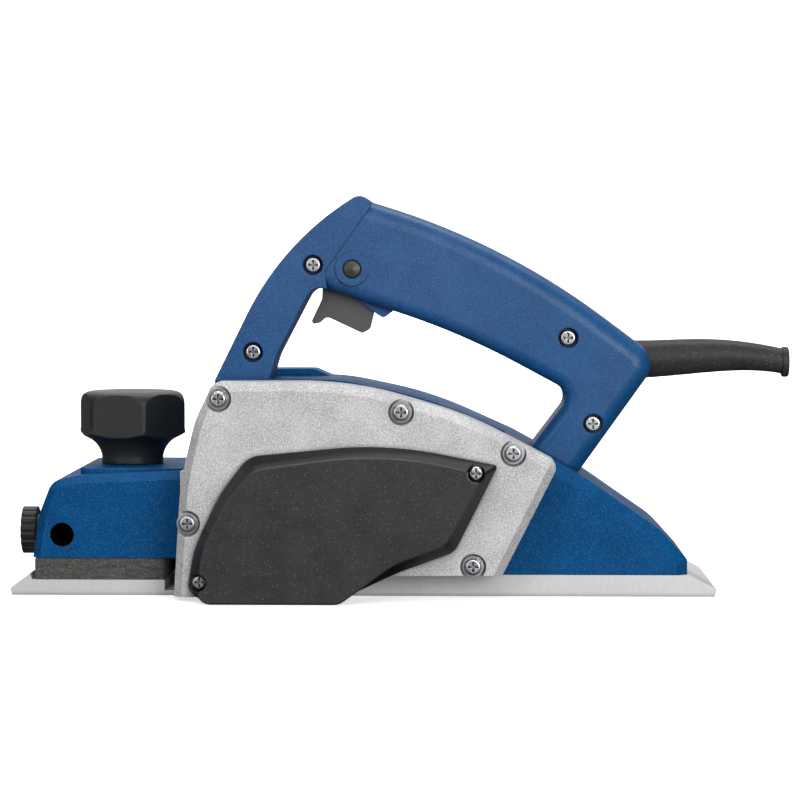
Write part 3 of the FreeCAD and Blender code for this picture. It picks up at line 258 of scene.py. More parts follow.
def edge_wear_and_highlight():
    """Rounds a sharp edge in the shading, and lightens it: a painted highlight along the edge, with rubbed
    wear in patches.
    """
    def build(wires, taken):
        rounded = wires.add("ShaderNodeBevel", {"Radius": taken["Width"]}, samples=RAYS).outputs[0]
        flat = wires.add("ShaderNodeNewGeometry").outputs["Normal"]
        agree = wires.add("ShaderNodeVectorMath", {0: rounded, 1: flat}, operation="DOT_PRODUCT")
        edge = wires.spread(wires.sum("SUBTRACT", 1.0, agree.outputs["Value"]), 0.01, 0.22)
        patches = wires.spread(wires.noise(taken["Vector"], 220.0, detail=4.0, roughness=0.65), 0.32, 0.62)
        return {"Mask": wires.sum("MULTIPLY", edge, patches), "Normal": rounded}
    return shared("Edge wear and highlight", [("Vector", "NodeSocketVector", None), ("Width", "NodeSocketFloat", 0.0006)],
                  [("Mask", "NodeSocketFloat"), ("Normal", "NodeSocketVector")], build)


def drawn_lines():
    """Fine lines left by machining, turning or rolling, drawn out along one direction."""
    def build(wires, taken):
        along = wires.add("ShaderNodeVectorMath", {0: taken["Vector"], 1: taken["Stretch"]},
                          operation="MULTIPLY").outputs["Vector"]
        broad = wires.noise(along, 1.0, detail=3.0, roughness=0.6)
        fine = wires.noise(along, 5.3, detail=2.0, roughness=0.5)
        height = wires.sum("MULTIPLY_ADD", broad, 0.6, wires.sum("MULTIPLY", fine, 0.4))
        shade = wires.sum("MULTIPLY_ADD", broad, 0.5, wires.sum("MULTIPLY", fine, 0.5))
        return {"Height": height, "Shade": wires.spread(shade, 0.3, 0.7)}
    return shared("Drawn lines", [
        ("Vector", "NodeSocketVector", None), ("Stretch", "NodeSocketVector", (200.0, 4000.0, 4000.0)),
    ], [("Height", "NodeSocketFloat"), ("Shade", "NodeSocketFloat")], build)


def crevice_painted_shade():
    """Masks corners, seams and the walls of wells for painted shade, where little light reaches."""
    def build(wires, taken):
        shade = wires.add("ShaderNodeAmbientOcclusion", {"Distance": taken["Reach"]}, samples=RAYS)
        return {"Mask": wires.spread(shade.outputs["AO"], 0.25, 0.85, 1.0, 0.0)}
    return shared("Crevice painted shade", [("Reach", "NodeSocketFloat", 0.0028)],
                  [("Mask", "NodeSocketFloat")], build)


def handling_marks():
    """Slow smudges and a few hair scratches, as a shift of the roughness."""
    def build(wires, taken):
        smudge = wires.spread(wires.noise(taken["Vector"], 42.0, detail=5.0, roughness=0.6,
                                          distortion=0.4), 0.35, 0.7)
        bent = wires.add("ShaderNodeVectorMath", {0: taken["Vector"], 1: (900.0, 120.0, 340.0)},
                         operation="MULTIPLY").outputs["Vector"]
        hair = wires.spread(wires.noise(bent, 1.0, detail=1.0, roughness=0.4, distortion=1.2), 0.66, 0.72)
        return {"Smudge": smudge, "Scratch": hair}
    return shared("Handling marks", [("Vector", "NodeSocketVector", None)],
                  [("Smudge", "NodeSocketFloat"), ("Scratch", "NodeSocketFloat")], build)


class Finish:
    """One material: a Principled shader whose colour, roughness and relief are built up in layers."""

    def __init__(self, name, base, roughness, metallic=0.0, specular=None, sheen=None):
        self.material = bpy.data.materials.new(name)
        self.material.use_nodes = True
        self.material.diffuse_color = base
        tree = self.material.node_tree
        tree.nodes.clear()
        self.wires = Wiring(tree)
        self.place = self.wires.add("ShaderNodeTexCoord").outputs["Object"]
        self.base = base
        self.roughness = roughness
        self.metallic = metallic
        self.height = None
        self.normal = None
        self.sockets = {}
        if specular is not None:
            self.sockets["Specular IOR Level"] = specular
        if sheen is not None:
            self.sockets["Sheen Weight"] = sheen

    def relief(self, height, depth):
        """Adds a height, whose full range is depth millimetres."""
        scaled = self.wires.sum("MULTIPLY", height, depth)
        self.height = scaled if self.height is None else self.wires.sum("ADD", self.height, scaled)

    def tint(self, mask, tone, amount):
        self.base = self.wires.mix(self.wires.sum("MULTIPLY", mask, amount), self.base, tone)

    def roughen(self, mask, amount):
        self.roughness = self.wires.sum("MULTIPLY_ADD", mask, amount, self.roughness, clamp=True)

    def grain(self, spacing, depth, tone=None, amount=0.0, rough=0.0):
        out = self.wires.filled(moulded_grain(), {"Vector": self.place, "Scale": 1.0 / spacing})
        self.relief(out["Height"], depth)
        if tone:
            self.tint(out["Shade"], tone, amount)
        if rough:
            self.roughen(out["Shade"], rough)
        return self

    def flecks(self, spacing, share, tone, amount, rough=-0.1):
        out = self.wires.filled(
            metal_flecks(), {"Vector": self.place, "Scale": 1.0 / spacing, "Share": share})
        self.tint(out["Mask"], tone, amount)
        self.roughen(out["Mask"], rough)
        return self

    # Lightens edges towards the tone: painted highlight along them, with rubbed wear in patches; also rounds
    # them in the shading.
    def highlight_and_wear_edges(self, width, tone, amount):
        out = self.wires.filled(edge_wear_and_highlight(), {"Vector": self.place, "Width": width})
        self.tint(out["Mask"], tone, amount)
        self.normal = out["Normal"]
        return self

    def lines(self, stretch, depth, tone=None, amount=0.0, rough=0.0):
        out = self.wires.filled(drawn_lines(), {"Vector": self.place, "Stretch": stretch})
        self.relief(out["Height"], depth)
        if tone:
            self.tint(out["Shade"], tone, amount)
        if rough:
            self.roughen(out["Shade"], rough)
        return self

    # Darkens corners, seams and wells towards the tone: painted shade.
    def paint_crevice_shade(self, reach, tone, amount):
        out = self.wires.filled(crevice_painted_shade(), {"Reach": reach})
        self.tint(out["Mask"], tone, amount)
        return self

    def paint_bore_shade(self, place, radius):
        """Paints shade inside a bore that runs along Y: dark and quite matt."""
        wires = self.wires
        spot = wires.add("ShaderNodeSeparateXYZ", {"Vector": self.place}).outputs
        across = wires.sum("SUBTRACT", spot["X"], place[0])
        up = wires.sum("SUBTRACT", spot["Z"], place[2])
        far = wires.sum("SQRT", wires.sum("MULTIPLY_ADD", across, across, wires.sum("MULTIPLY", up, up)))
        inside = wires.sum("LESS_THAN", far, radius * 1.01)
        self.tint(inside, srgb(3, 3, 4), 1.0)
        self.roughen(inside, 1.0)
        return self

    def paint_top_light(self, tone, amount):
        """Lightens the faces that look up: painted light and reflection from above."""
        facing = self.wires.add("ShaderNodeTexCoord").outputs["Normal"]
        up = self.wires.add("ShaderNodeSeparateXYZ", {"Vector": facing}).outputs["Z"]
        self.tint(self.wires.spread(up, 0.75, 0.98), tone, amount)
        return self

    def handled(self, smudge=0.08, scratch=0.06):
        out = self.wires.filled(handling_marks(), {"Vector": self.place})
        self.roughen(out["Smudge"], smudge)
        self.roughen(out["Scratch"], scratch)
        return self

    def done(self):
        sockets = {"Base Color": self.base, "Roughness": self.roughness, "Metallic": self.metallic}
        sockets.update(self.sockets)
        normal = self.normal
        if self.height is not None:
            relief = {"Height": self.height, "Distance": MILLIMETRE, "Strength": 1.0}
            if normal is not None:
                relief["Normal"] = normal
            normal = self.wires.add("ShaderNodeBump", relief).outputs["Normal"]
        if normal is not None:
            sockets["Normal"] = normal
        shader = self.wires.add("ShaderNodeBsdfPrincipled", sockets)
        self.wires.add("ShaderNodeOutputMaterial", {"Surface": shader.outputs["BSDF"]})
        return self.material


# ---------------------------------------------------------------- helpers for pieces
SAME_POINT = 1e-6
SAME_DEPTH = 1e-4
FACES_FRONT = -0.999
BEAD_ROUNDNESS = 2
BEAD_STEP = 0.0015


def coat_nodes(material, *names):
    """Gives CAD nodes this material on their own slots."""
    for name in names:
        for holder in NODES[name].material_slots:
            holder.material = material


def smooth(mesh):
    mesh.polygons.foreach_set("use_smooth", [True] * len(mesh.polygons))


def new_piece(name, mesh, material, body):
    """Links a new mesh as a piece that rides on a CAD body."""
    piece = bpy.data.objects.new(name, mesh)
    bpy.context.scene.collection.objects.link(piece)
    mesh.materials.clear()
    mesh.materials.append(material)
    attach(piece, body)
    return piece


def tube(name, points, radius):
    """A round bead along a closed run of points, as a mesh."""
    line = bpy.data.curves.new(name, "CURVE")
    line.dimensions = "3D"
    line.bevel_depth = radius
    line.bevel_resolution = BEAD_ROUNDNESS
    run = line.splines.new("POLY")
    run.points.add(len(points) - 1)
    for spot, point in zip(run.points, points):
        spot.co = (*point, 1.0)
    run.use_cyclic_u = True
    holder = bpy.data.objects.new(name + "_line", line)
    bpy.context.scene.collection.objects.link(holder)
    mesh = bpy.data.meshes.new_from_object(holder.evaluated_get(bpy.context.evaluated_depsgraph_get()))
    bpy.data.objects.remove(holder)
    bpy.data.curves.remove(line)
    smooth(mesh)
    return mesh


def outline_at(node, depth):
    """The longest outline of the flat face of a node that looks towards -Y at this depth."""
    work = bmesh.new()
    work.from_mesh(NODES[node].data)
    bmesh.ops.remove_doubles(work, verts=work.verts, dist=SAME_POINT)
    flat = {face for face in work.faces
            if face.normal.y < FACES_FRONT and abs(face.calc_center_median().y - depth) < SAME_DEPTH}
    links = {}
    for edge in work.edges:
        if sum(face in flat for face in edge.link_faces) == 1:
            first, second = edge.verts
            links.setdefault(first, []).append(second)
            links.setdefault(second, []).append(first)
    loops = []
    while links:
        start = next(iter(links))
        loop = [start]
        here = start
        while True:
            onward = [vert for vert in links.pop(here) if vert in links]
            if not onward:
                break
            here = onward[0]
            loop.append(here)
        loops.append([vert.co.copy() for vert in loop])
    work.free()
    if not loops:
        raise RuntimeError("no flat face at that depth on " + node)
    return max(loops, key=len)


def even_spacing(points, step):
    """Points at an even spacing along a closed outline."""
    ring = points + points[:1]
    lengths = [0.0]
    for first, second in zip(ring, ring[1:]):
        lengths.append(lengths[-1] + (second - first).length)
    count = int(lengths[-1] / step)
    spaced = []
    leg = 0
    for index in range(count):
        reach = lengths[-1] * index / count
        while lengths[leg + 1] < reach:
            leg += 1
        share = (reach - lengths[leg]) / max(lengths[leg + 1] - lengths[leg], 1e-12)
        spaced.append(ring[leg].lerp(ring[leg + 1], share))
    return spaced


# ---------------------------------------------------------------- operators, one for each group of pieces
BLUE_DULLNESS = 0.44  # roughness of the blue plastic before its gloss takes some away
GLOSS_POLISH = 0.2
LIGHT_PAINT_STARTS_Z = 0.05  # painted light on the handle starts from this height up, and is full from the next height
LIGHT_PAINT_FULL_Z = 0.13
LIGHT_PAINT_FULL_X = 0.02  # and less towards its rear leg
LIGHT_PAINT_FADED_X = 0.09
LIGHT_PAINT_REAR_SHARE = 0.25
FOAM_SLOW_WAVE = 160.0
FOAM_QUICK_WAVE = 700.0
FOAM_QUICK_SHARE = 0.6
FOAM_EVEN_DIP = 0.6  # the dip in every side of the foam, as a share of foam_wave
FOAM_WAVY_DIP = 0.5  # the part of the dip that varies from place to place
FOAM_RIM_DIP = 0.4  # the share of the dip at the foam's top and bottom rims
FOAM_MIDDLE_DIP = 0.6  # the share added half-way up
SWEEP_NEAR = -3.0
SWEEP_FAR = 1.2
SWEEP_CURVE = 0.9
SWEEP_STEPS = 12
SWEEP_TOP = 4.0
SWEEP_HALF_WIDTH = 4.0
PAPER_DARK_Z = 0.04  # below this the paper reflects least onto the planer
PAPER_PALE_Z = 0.16
PAPER_PALE_SHARE = 0.3
PAPER_GLOW = 0.6


class PLANER_OT_blue_shell(bpy.types.Operator):
    """Finish the housings, the handle and the motor cover in flecked blue plastic"""
    bl_idname = "planer.blue_shell"
    bl_label = "Blue shell"

    def execute(self, context):
        tones = context.scene.planer_colours
        detail = context.scene.planer_detail
        for name, gloss, lit_from_above, nodes in (
                ("Blue flecked plastic", 0.08, False, ("front_housing", "body_housing", "motor_cover")),
                ("Blue handle plastic", 0.36, True, ("handle_left", "handle_right"))):
            finish = Finish(name, tones.blue, roughness=BLUE_DULLNESS - GLOSS_POLISH * gloss,
                            specular=gloss)
            # painted light: the handle's upper front is tinted paler, as light and reflection from above
            if lit_from_above:
                spot = finish.wires.add("ShaderNodeSeparateXYZ", {"Vector": finish.place}).outputs
                upper = finish.wires.spread(spot["Z"], LIGHT_PAINT_STARTS_Z, LIGHT_PAINT_FULL_Z)
                front = finish.wires.spread(spot["X"], LIGHT_PAINT_FULL_X, LIGHT_PAINT_FADED_X, 1.0, LIGHT_PAINT_REAR_SHARE)
                finish.tint(finish.wires.sum("MULTIPLY", upper, front), tones.blue_painted_light, amount=0.8)
            finish.grain(spacing=0.0008, depth=0.016, tone=srgb(0, 46, 92), amount=0.60, rough=0.08)
            finish.flecks(spacing=detail.fleck, share=0.50, tone=tones.blue_fleck, amount=0.40)
            finish.handled(smudge=0.07, scratch=0.03)
            # painted highlight along the housing's edges, with some rubbed wear
            finish.highlight_and_wear_edges(width=detail.edge, tone=srgb(84, 138, 188), amount=0.5)
            # painted shade in the seams and screw wells
            finish.paint_crevice_shade(reach=detail.seam, tone=srgb(6, 20, 40), amount=0.9)
            # painted shade inside the fence rod's bore
            finish.paint_bore_shade(ROD_BORE["pos_m"], ROD_BORE["dims"]["r_mm"] * MILLIMETRE)
            coat_nodes(finish.done(), *nodes)
        return {"FINISHED"}


class PLANER_OT_side_bracket(bpy.types.Operator):
    """Finish the side bracket in silver hammered paint"""
    bl_idname = "planer.side_bracket"
    bl_label = "Side bracket"

    def execute(self, context):
        tones = context.scene.planer_colours
        detail = context.scene.planer_detail
        finish = Finish("Hammered silver paint", tones.casting, roughness=0.48, metallic=0.10,
                        specular=0.35)
        finish.grain(spacing=detail.hammer, depth=0.050, tone=tones.casting_pit, amount=0.9, rough=0.12)
        finish.flecks(spacing=0.0007, share=0.45, tone=srgb(250, 250, 250), amount=0.8, rough=-0.12)
        finish.flecks(spacing=0.0008, share=0.40, tone=srgb(112, 112, 113), amount=0.65, rough=0.05)
        # painted highlight line along the edges of the bevels
        finish.highlight_and_wear_edges(width=detail.edge, tone=srgb(242, 242, 243), amount=0.8)
        # painted shade in corners and the washers' wells
        finish.paint_crevice_shade(reach=detail.crevice, tone=srgb(60, 60, 60), amount=0.8)
        coat_nodes(finish.done(), "side_bracket")
        return {"FINISHED"}


class PLANER_OT_belt_cover(bpy.types.Operator):
    """Finish the belt cover: textured panel, glossy sloping border, and the bead between them"""
    bl_idname = "planer.belt_cover"
    bl_label = "Belt cover"

    def execute(self, context):
        tones = context.scene.planer_colours
        detail = context.scene.planer_detail
        finish = Finish("Belt cover plastic", tones.cover, roughness=0.52, specular=0.3)
        finish.grain(spacing=detail.spark, depth=0.040, tone=srgb(58, 59, 57), amount=0.8, rough=0.08)
        finish.flecks(spacing=0.0010, share=0.3, tone=srgb(104, 104, 101), amount=0.45, rough=0.0)
        # painted shade in corners and around the screws
        finish.paint_crevice_shade(reach=detail.crevice, tone=srgb(14, 14, 14), amount=0.8)
        wires = finish.wires
        outward = wires.add("ShaderNodeTexCoord").outputs["Normal"]
        facing = wires.add("ShaderNodeSeparateXYZ", {"Vector": outward})
        border = wires.spread(facing.outputs["Y"], -0.99, -0.96)
        finish.tint(border, tones.cover_rim, amount=1.0)
        finish.roughen(border, amount=-0.12)
        finish.height = wires.sum("MULTIPLY", finish.height, wires.sum("SUBTRACT", 1.0, border))
        finish.highlight_and_wear_edges(width=detail.edge, tone=srgb(96, 96, 96), amount=0.25)
        coat_nodes(finish.done(), "belt_cover")
        gloss = Finish("Belt cover bead", srgb(46, 46, 46), roughness=0.30)
        gloss.grain(spacing=0.0009, depth=0.004)
        gloss.handled(smudge=0.06, scratch=0.05)
        panel = even_spacing(outline_at("belt_cover", COVER_FACE_Y), BEAD_STEP)
        sink = Vector((0.0, detail.rim_bead, 0.0))
        bead = tube("cover_bead", [point + sink for point in panel], detail.rim_bead)
        new_piece("cover_bead", bead, gloss.done(), "planer")
        return {"FINISHED"}


class PLANER_OT_sole(bpy.types.Operator):
    """Finish the sole and the front shoe in machined aluminium"""
    bl_idname = "planer.sole"
    bl_label = "Sole and shoe"

    def execute(self, context):
        tones = context.scene.planer_colours
        detail = context.scene.planer_detail
        finish = Finish("Machined aluminium", tones.sole, roughness=0.42, metallic=0.30)
        finish.lines(stretch=(2400.0, 160.0, 150.0), depth=0.008, tone=srgb(186, 186, 187), amount=0.35,
                     rough=0.08)
        finish.grain(spacing=0.0016, depth=0.006, tone=srgb(188, 188, 190), amount=0.25)
        finish.handled(smudge=0.07, scratch=0.05)
        finish.highlight_and_wear_edges(width=detail.ground_edge, tone=srgb(225, 226, 228), amount=0.4)
        # painted shade in corners and under parts
        finish.paint_crevice_shade(reach=detail.crevice, tone=srgb(40, 40, 40), amount=0.8)
        coat_nodes(finish.done(), "rear_base", "front_shoe")
        return {"FINISHED"}


class PLANER_OT_foam_seal(bpy.types.Operator):
    """Make the foam seal between the shoe and the front housing, with open cells and soft sides"""
    bl_idname = "planer.foam_seal"
    bl_label = "Foam seal"

    def execute(self, context):
        tones = context.scene.planer_colours
        detail = context.scene.planer_detail
        holder = bpy.data.objects.new("foam_work", NODES["foam_seal"].data.copy())
        context.scene.collection.objects.link(holder)
        remesh = holder.modifiers.new("Cells", "REMESH")
        remesh.mode = "VOXEL"
        remesh.voxel_size = detail.foam_mesh
        context.view_layer.update()
        mesh = bpy.data.meshes.new_from_object(holder.evaluated_get(context.evaluated_depsgraph_get()))
        bpy.data.objects.remove(holder)
        mesh.name = "foam_strip"
        low = min(vertex.co.z for vertex in mesh.vertices)
        high = max(vertex.co.z for vertex in mesh.vertices)
        middle = (FOAM_LOW + FOAM_HIGH) / 2
        for vertex in mesh.vertices:
            place = vertex.co.copy()
            share = (place.z - low) / (high - low)
            place.z = FOAM_LOW.z + (FOAM_HIGH.z - FOAM_LOW.z) * share
            belly = 4.0 * share * (1.0 - share)
            wave = noise.noise(place * FOAM_SLOW_WAVE)
            wave += FOAM_QUICK_SHARE * noise.noise(place * FOAM_QUICK_WAVE)
            inward = Vector((middle.x - place.x, middle.y - place.y, 0.0)).normalized()
            dip = FOAM_EVEN_DIP + FOAM_WAVY_DIP * wave
            bulge = FOAM_RIM_DIP + FOAM_MIDDLE_DIP * belly
            vertex.co = place + inward * detail.foam_wave * dip * bulge
        smooth(mesh)
        finish = Finish("Open cell foam", tones.foam, roughness=0.9, sheen=0.25)
        finish.grain(spacing=detail.foam_cell, depth=0.16, tone=srgb(26, 26, 26), amount=0.7)
        finish.lines(stretch=(120.0, 120.0, 900.0), depth=0.10, tone=tones.foam_light, amount=0.55)
        finish.flecks(spacing=0.0013, share=0.42, tone=srgb(134, 132, 126), amount=0.8, rough=0.0)
        strip = new_piece("foam_strip", mesh, finish.done(), "planer")
        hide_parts("foam_seal")
        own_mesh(strip)
        return {"FINISHED"}


class PLANER_OT_fasteners(bpy.types.Operator):
    """Finish the screws, washers and bolts in bright zinc"""
    bl_idname = "planer.fasteners"
    bl_label = "Fasteners"

    def execute(self, context):
        tones = context.scene.planer_colours
        detail = context.scene.planer_detail
        finish = Finish("Bright zinc", tones.zinc, roughness=0.22, metallic=1.0)
        finish.grain(spacing=0.0008, depth=0.008, tone=srgb(150, 152, 156), amount=0.35, rough=0.12)
        finish.handled(smudge=0.12, scratch=0.10)
        finish.highlight_and_wear_edges(width=detail.ground_edge, tone=srgb(240, 240, 242), amount=0.6)
        # painted shade in the screws' cross recesses and around the heads
        finish.paint_crevice_shade(reach=0.0014, tone=srgb(24, 24, 24), amount=0.9)
        coat_nodes(finish.done(), "bracket_screws", "bracket_washers", "cover_screws", "handle_screws",
                   "motor_cover_screws", "blade_bolts")
        return {"FINISHED"}


class PLANER_OT_knobs(bpy.types.Operator):
    """Finish the depth knob, the fence knob and their shafts"""
    bl_idname = "planer.knobs"
    bl_label = "Knobs"

    def execute(self, context):
        tones = context.scene.planer_colours
        detail = context.scene.planer_detail
        finish = Finish("Satin black plastic", tones.knob, roughness=0.40, specular=0.35)
        finish.grain(spacing=detail.spark, depth=0.014, tone=srgb(50, 52, 52), amount=0.45, rough=0.08)
        finish.handled(smudge=0.08, scratch=0.04)
        # painted light and reflection on the knobs' tops
        finish.paint_top_light(srgb(84, 85, 85), amount=0.9)
        # painted highlight on the corners of the knob's facets
        finish.highlight_and_wear_edges(width=0.0009, tone=srgb(112, 113, 113), amount=0.6)
        # painted shade in the knobs' corners
        finish.paint_crevice_shade(reach=0.0014, tone=srgb(8, 8, 8), amount=0.6)
        coat_nodes(finish.done(), "depth_knob", "fence_knob")
        shaft = Finish("Turned steel", tones.steel, roughness=0.30, metallic=1.0)
        shaft.lines(stretch=(2600.0, 2600.0, 2600.0), depth=0.010, tone=srgb(130, 132, 136), amount=0.4,
                    rough=0.1)
        shaft.highlight_and_wear_edges(width=detail.ground_edge, tone=srgb(220, 221, 223), amount=0.5)
        # painted shade on the screw inside the fence rod's bore
        shaft.paint_bore_shade(ROD_BORE["pos_m"], ROD_BORE["dims"]["r_mm"] * MILLIMETRE)
        coat_nodes(shaft.done(), "depth_spindle", "fence_screw", "armature_shaft", "clamp_plates")
        return {"FINISHED"}


class PLANER_OT_cutter(bpy.types.Operator):
    """Finish the cutter drum and its blades"""
    bl_idname = "planer.cutter"
    bl_label = "Cutter drum"

    def execute(self, context):
        tones = context.scene.planer_colours
        detail = context.scene.planer_detail
        drum = Finish("Cast drum", srgb(150, 152, 154), roughness=0.45, metallic=0.9)
        drum.lines(stretch=(2400.0, 90.0, 2400.0), depth=0.012, tone=srgb(110, 111, 113), amount=0.4,
                   rough=0.1)
        drum.highlight_and_wear_edges(width=detail.ground_edge, tone=srgb(210, 211, 213), amount=0.6)
        coat_nodes(drum.done(), "cutter_drum", "set_plates")
        blade = Finish("Ground blade", srgb(196, 198, 202), roughness=0.16, metallic=1.0)
        blade.lines(stretch=(5200.0, 60.0, 5200.0), depth=0.006, tone=srgb(150, 153, 158), amount=0.35,
                    rough=0.08)
        blade.highlight_and_wear_edges(width=detail.ground_edge, tone=srgb(240, 241, 243), amount=0.6)
        coat_nodes(blade.done(), "blades")
        return {"FINISHED"}


class PLANER_OT_drive(bpy.types.Operator):
    """Finish the bearings, the pulleys and the drive belt"""
    bl_idname = "planer.drive"
    bl_label = "Bearings and belt"

    def execute(self, context):
        tones = context.scene.planer_colours
        detail = context.scene.planer_detail
        race = Finish("Bearing steel", tones.steel, roughness=0.18, metallic=1.0)
        race.lines(stretch=(3000.0, 40.0, 3000.0), depth=0.004, tone=srgb(140, 142, 146), amount=0.3,
                   rough=0.08)
        race.highlight_and_wear_edges(width=detail.ground_edge, tone=srgb(230, 231, 233), amount=0.5)
        coat_nodes(race.done(), "drum_bearings_outer", "drum_bearings_inner",
                   "motor_bearings_outer", "motor_bearings_inner")
        pulley = Finish("Pulley aluminium", srgb(190, 191, 194), roughness=0.34, metallic=1.0)
        pulley.lines(stretch=(1800.0, 60.0, 1800.0), depth=0.010, tone=srgb(150, 151, 154), amount=0.35,
                     rough=0.1)
        pulley.highlight_and_wear_edges(width=detail.ground_edge, tone=srgb(228, 229, 231), amount=0.5)
        coat_nodes(pulley.done(), "drum_pulley", "motor_pulley")
        belt = Finish("Belt rubber", srgb(30, 30, 31), roughness=0.72)
        belt.lines(stretch=(240.0, 2200.0, 240.0), depth=0.030, tone=srgb(52, 52, 52), amount=0.5)
        belt.grain(spacing=0.0006, depth=0.020, tone=srgb(20, 20, 20), amount=0.4)
        coat_nodes(belt.done(), "drive_belt")
        return {"FINISHED"}


class PLANER_OT_motor(bpy.types.Operator):
    """Finish the armature, the field and the brushes"""
    bl_idname = "planer.motor"
    bl_label = "Motor"

    def execute(self, context):
        tones = context.scene.planer_colours
        detail = context.scene.planer_detail
        core = Finish("Core laminations", srgb(112, 113, 116), roughness=0.45, metallic=0.9)
        core.lines(stretch=(30.0, 2000.0, 30.0), depth=0.030, tone=srgb(58, 58, 60), amount=0.6, rough=0.15)
        core.highlight_and_wear_edges(width=detail.ground_edge, tone=srgb(170, 171, 174), amount=0.4)
        coat_nodes(core.done(), "armature_core", "stator_core")
        wire = Finish("Winding wire", tones.copper, roughness=0.30, metallic=0.9)
        wire.lines(stretch=(900.0, 900.0, 2600.0), depth=0.060, tone=srgb(96, 48, 26), amount=0.6,
                   rough=0.1)
        coat_nodes(wire.done(), "armature_windings", "field_coils")
        bars = Finish("Commutator copper", srgb(206, 128, 84), roughness=0.26, metallic=1.0)
        bars.lines(stretch=(2600.0, 60.0, 2600.0), depth=0.010, tone=srgb(130, 76, 50), amount=0.5,
                   rough=0.12)
        bars.highlight_and_wear_edges(width=detail.ground_edge, tone=srgb(230, 170, 130), amount=0.4)
        coat_nodes(bars.done(), "commutator", "brush_holders")
        carbon = Finish("Carbon brush", srgb(34, 34, 36), roughness=0.55)
        carbon.grain(spacing=0.0005, depth=0.010, tone=srgb(60, 60, 63), amount=0.5)
        coat_nodes(carbon.done(), "carbon_brushes")
        fan = Finish("Fan plastic", srgb(30, 31, 33), roughness=0.45)
        fan.grain(spacing=detail.spark, depth=0.010, tone=srgb(46, 47, 50), amount=0.4)
        fan.highlight_and_wear_edges(width=detail.edge, tone=srgb(80, 80, 82), amount=0.3)
        coat_nodes(fan.done(), "cooling_fan", "switch_body")
        return {"FINISHED"}


class PLANER_OT_controls(bpy.types.Operator):
    """Finish the trigger, the lock button, the chip outlet and the cord guard"""
    bl_idname = "planer.controls"
    bl_label = "Controls, outlet and guard"

    def execute(self, context):
        tones = context.scene.planer_colours
        detail = context.scene.planer_detail
        trigger = Finish("Trigger plastic", tones.trigger, roughness=0.48)
        trigger.grain(spacing=detail.spark, depth=0.016, tone=srgb(92, 88, 88), amount=0.4, rough=0.06)
        trigger.highlight_and_wear_edges(width=detail.edge, tone=srgb(130, 128, 127), amount=0.35)
        coat_nodes(trigger.done(), "trigger")
        button = Finish("Button plastic", tones.button, roughness=0.34)
        button.grain(spacing=detail.spark, depth=0.008, tone=srgb(60, 62, 52), amount=0.4, rough=0.06)
        button.highlight_and_wear_edges(width=detail.edge, tone=srgb(110, 112, 100), amount=0.35)
        coat_nodes(button.done(), "lock_button")
        outlet = Finish("Outlet plastic", tones.cover, roughness=0.46)
        outlet.grain(spacing=detail.spark, depth=0.016, tone=srgb(76, 76, 76), amount=0.4, rough=0.06)
        outlet.highlight_and_wear_edges(width=detail.edge, tone=srgb(100, 100, 100), amount=0.3)
        coat_nodes(outlet.done(), "chip_outlet")
        rubber = Finish("Guard rubber", tones.rubber, roughness=0.42, specular=0.22)
        rubber.grain(spacing=detail.spark, depth=0.020, tone=srgb(66, 67, 68), amount=0.5, rough=0.12)
        rubber.flecks(spacing=0.0010, share=0.3, tone=srgb(120, 121, 121), amount=0.5, rough=-0.05)
        rubber.handled(smudge=0.06, scratch=0.03)
        rubber.highlight_and_wear_edges(width=detail.edge, tone=srgb(104, 105, 105), amount=0.3)
        coat_nodes(rubber.done(), "cord_guard")
        return {"FINISHED"}


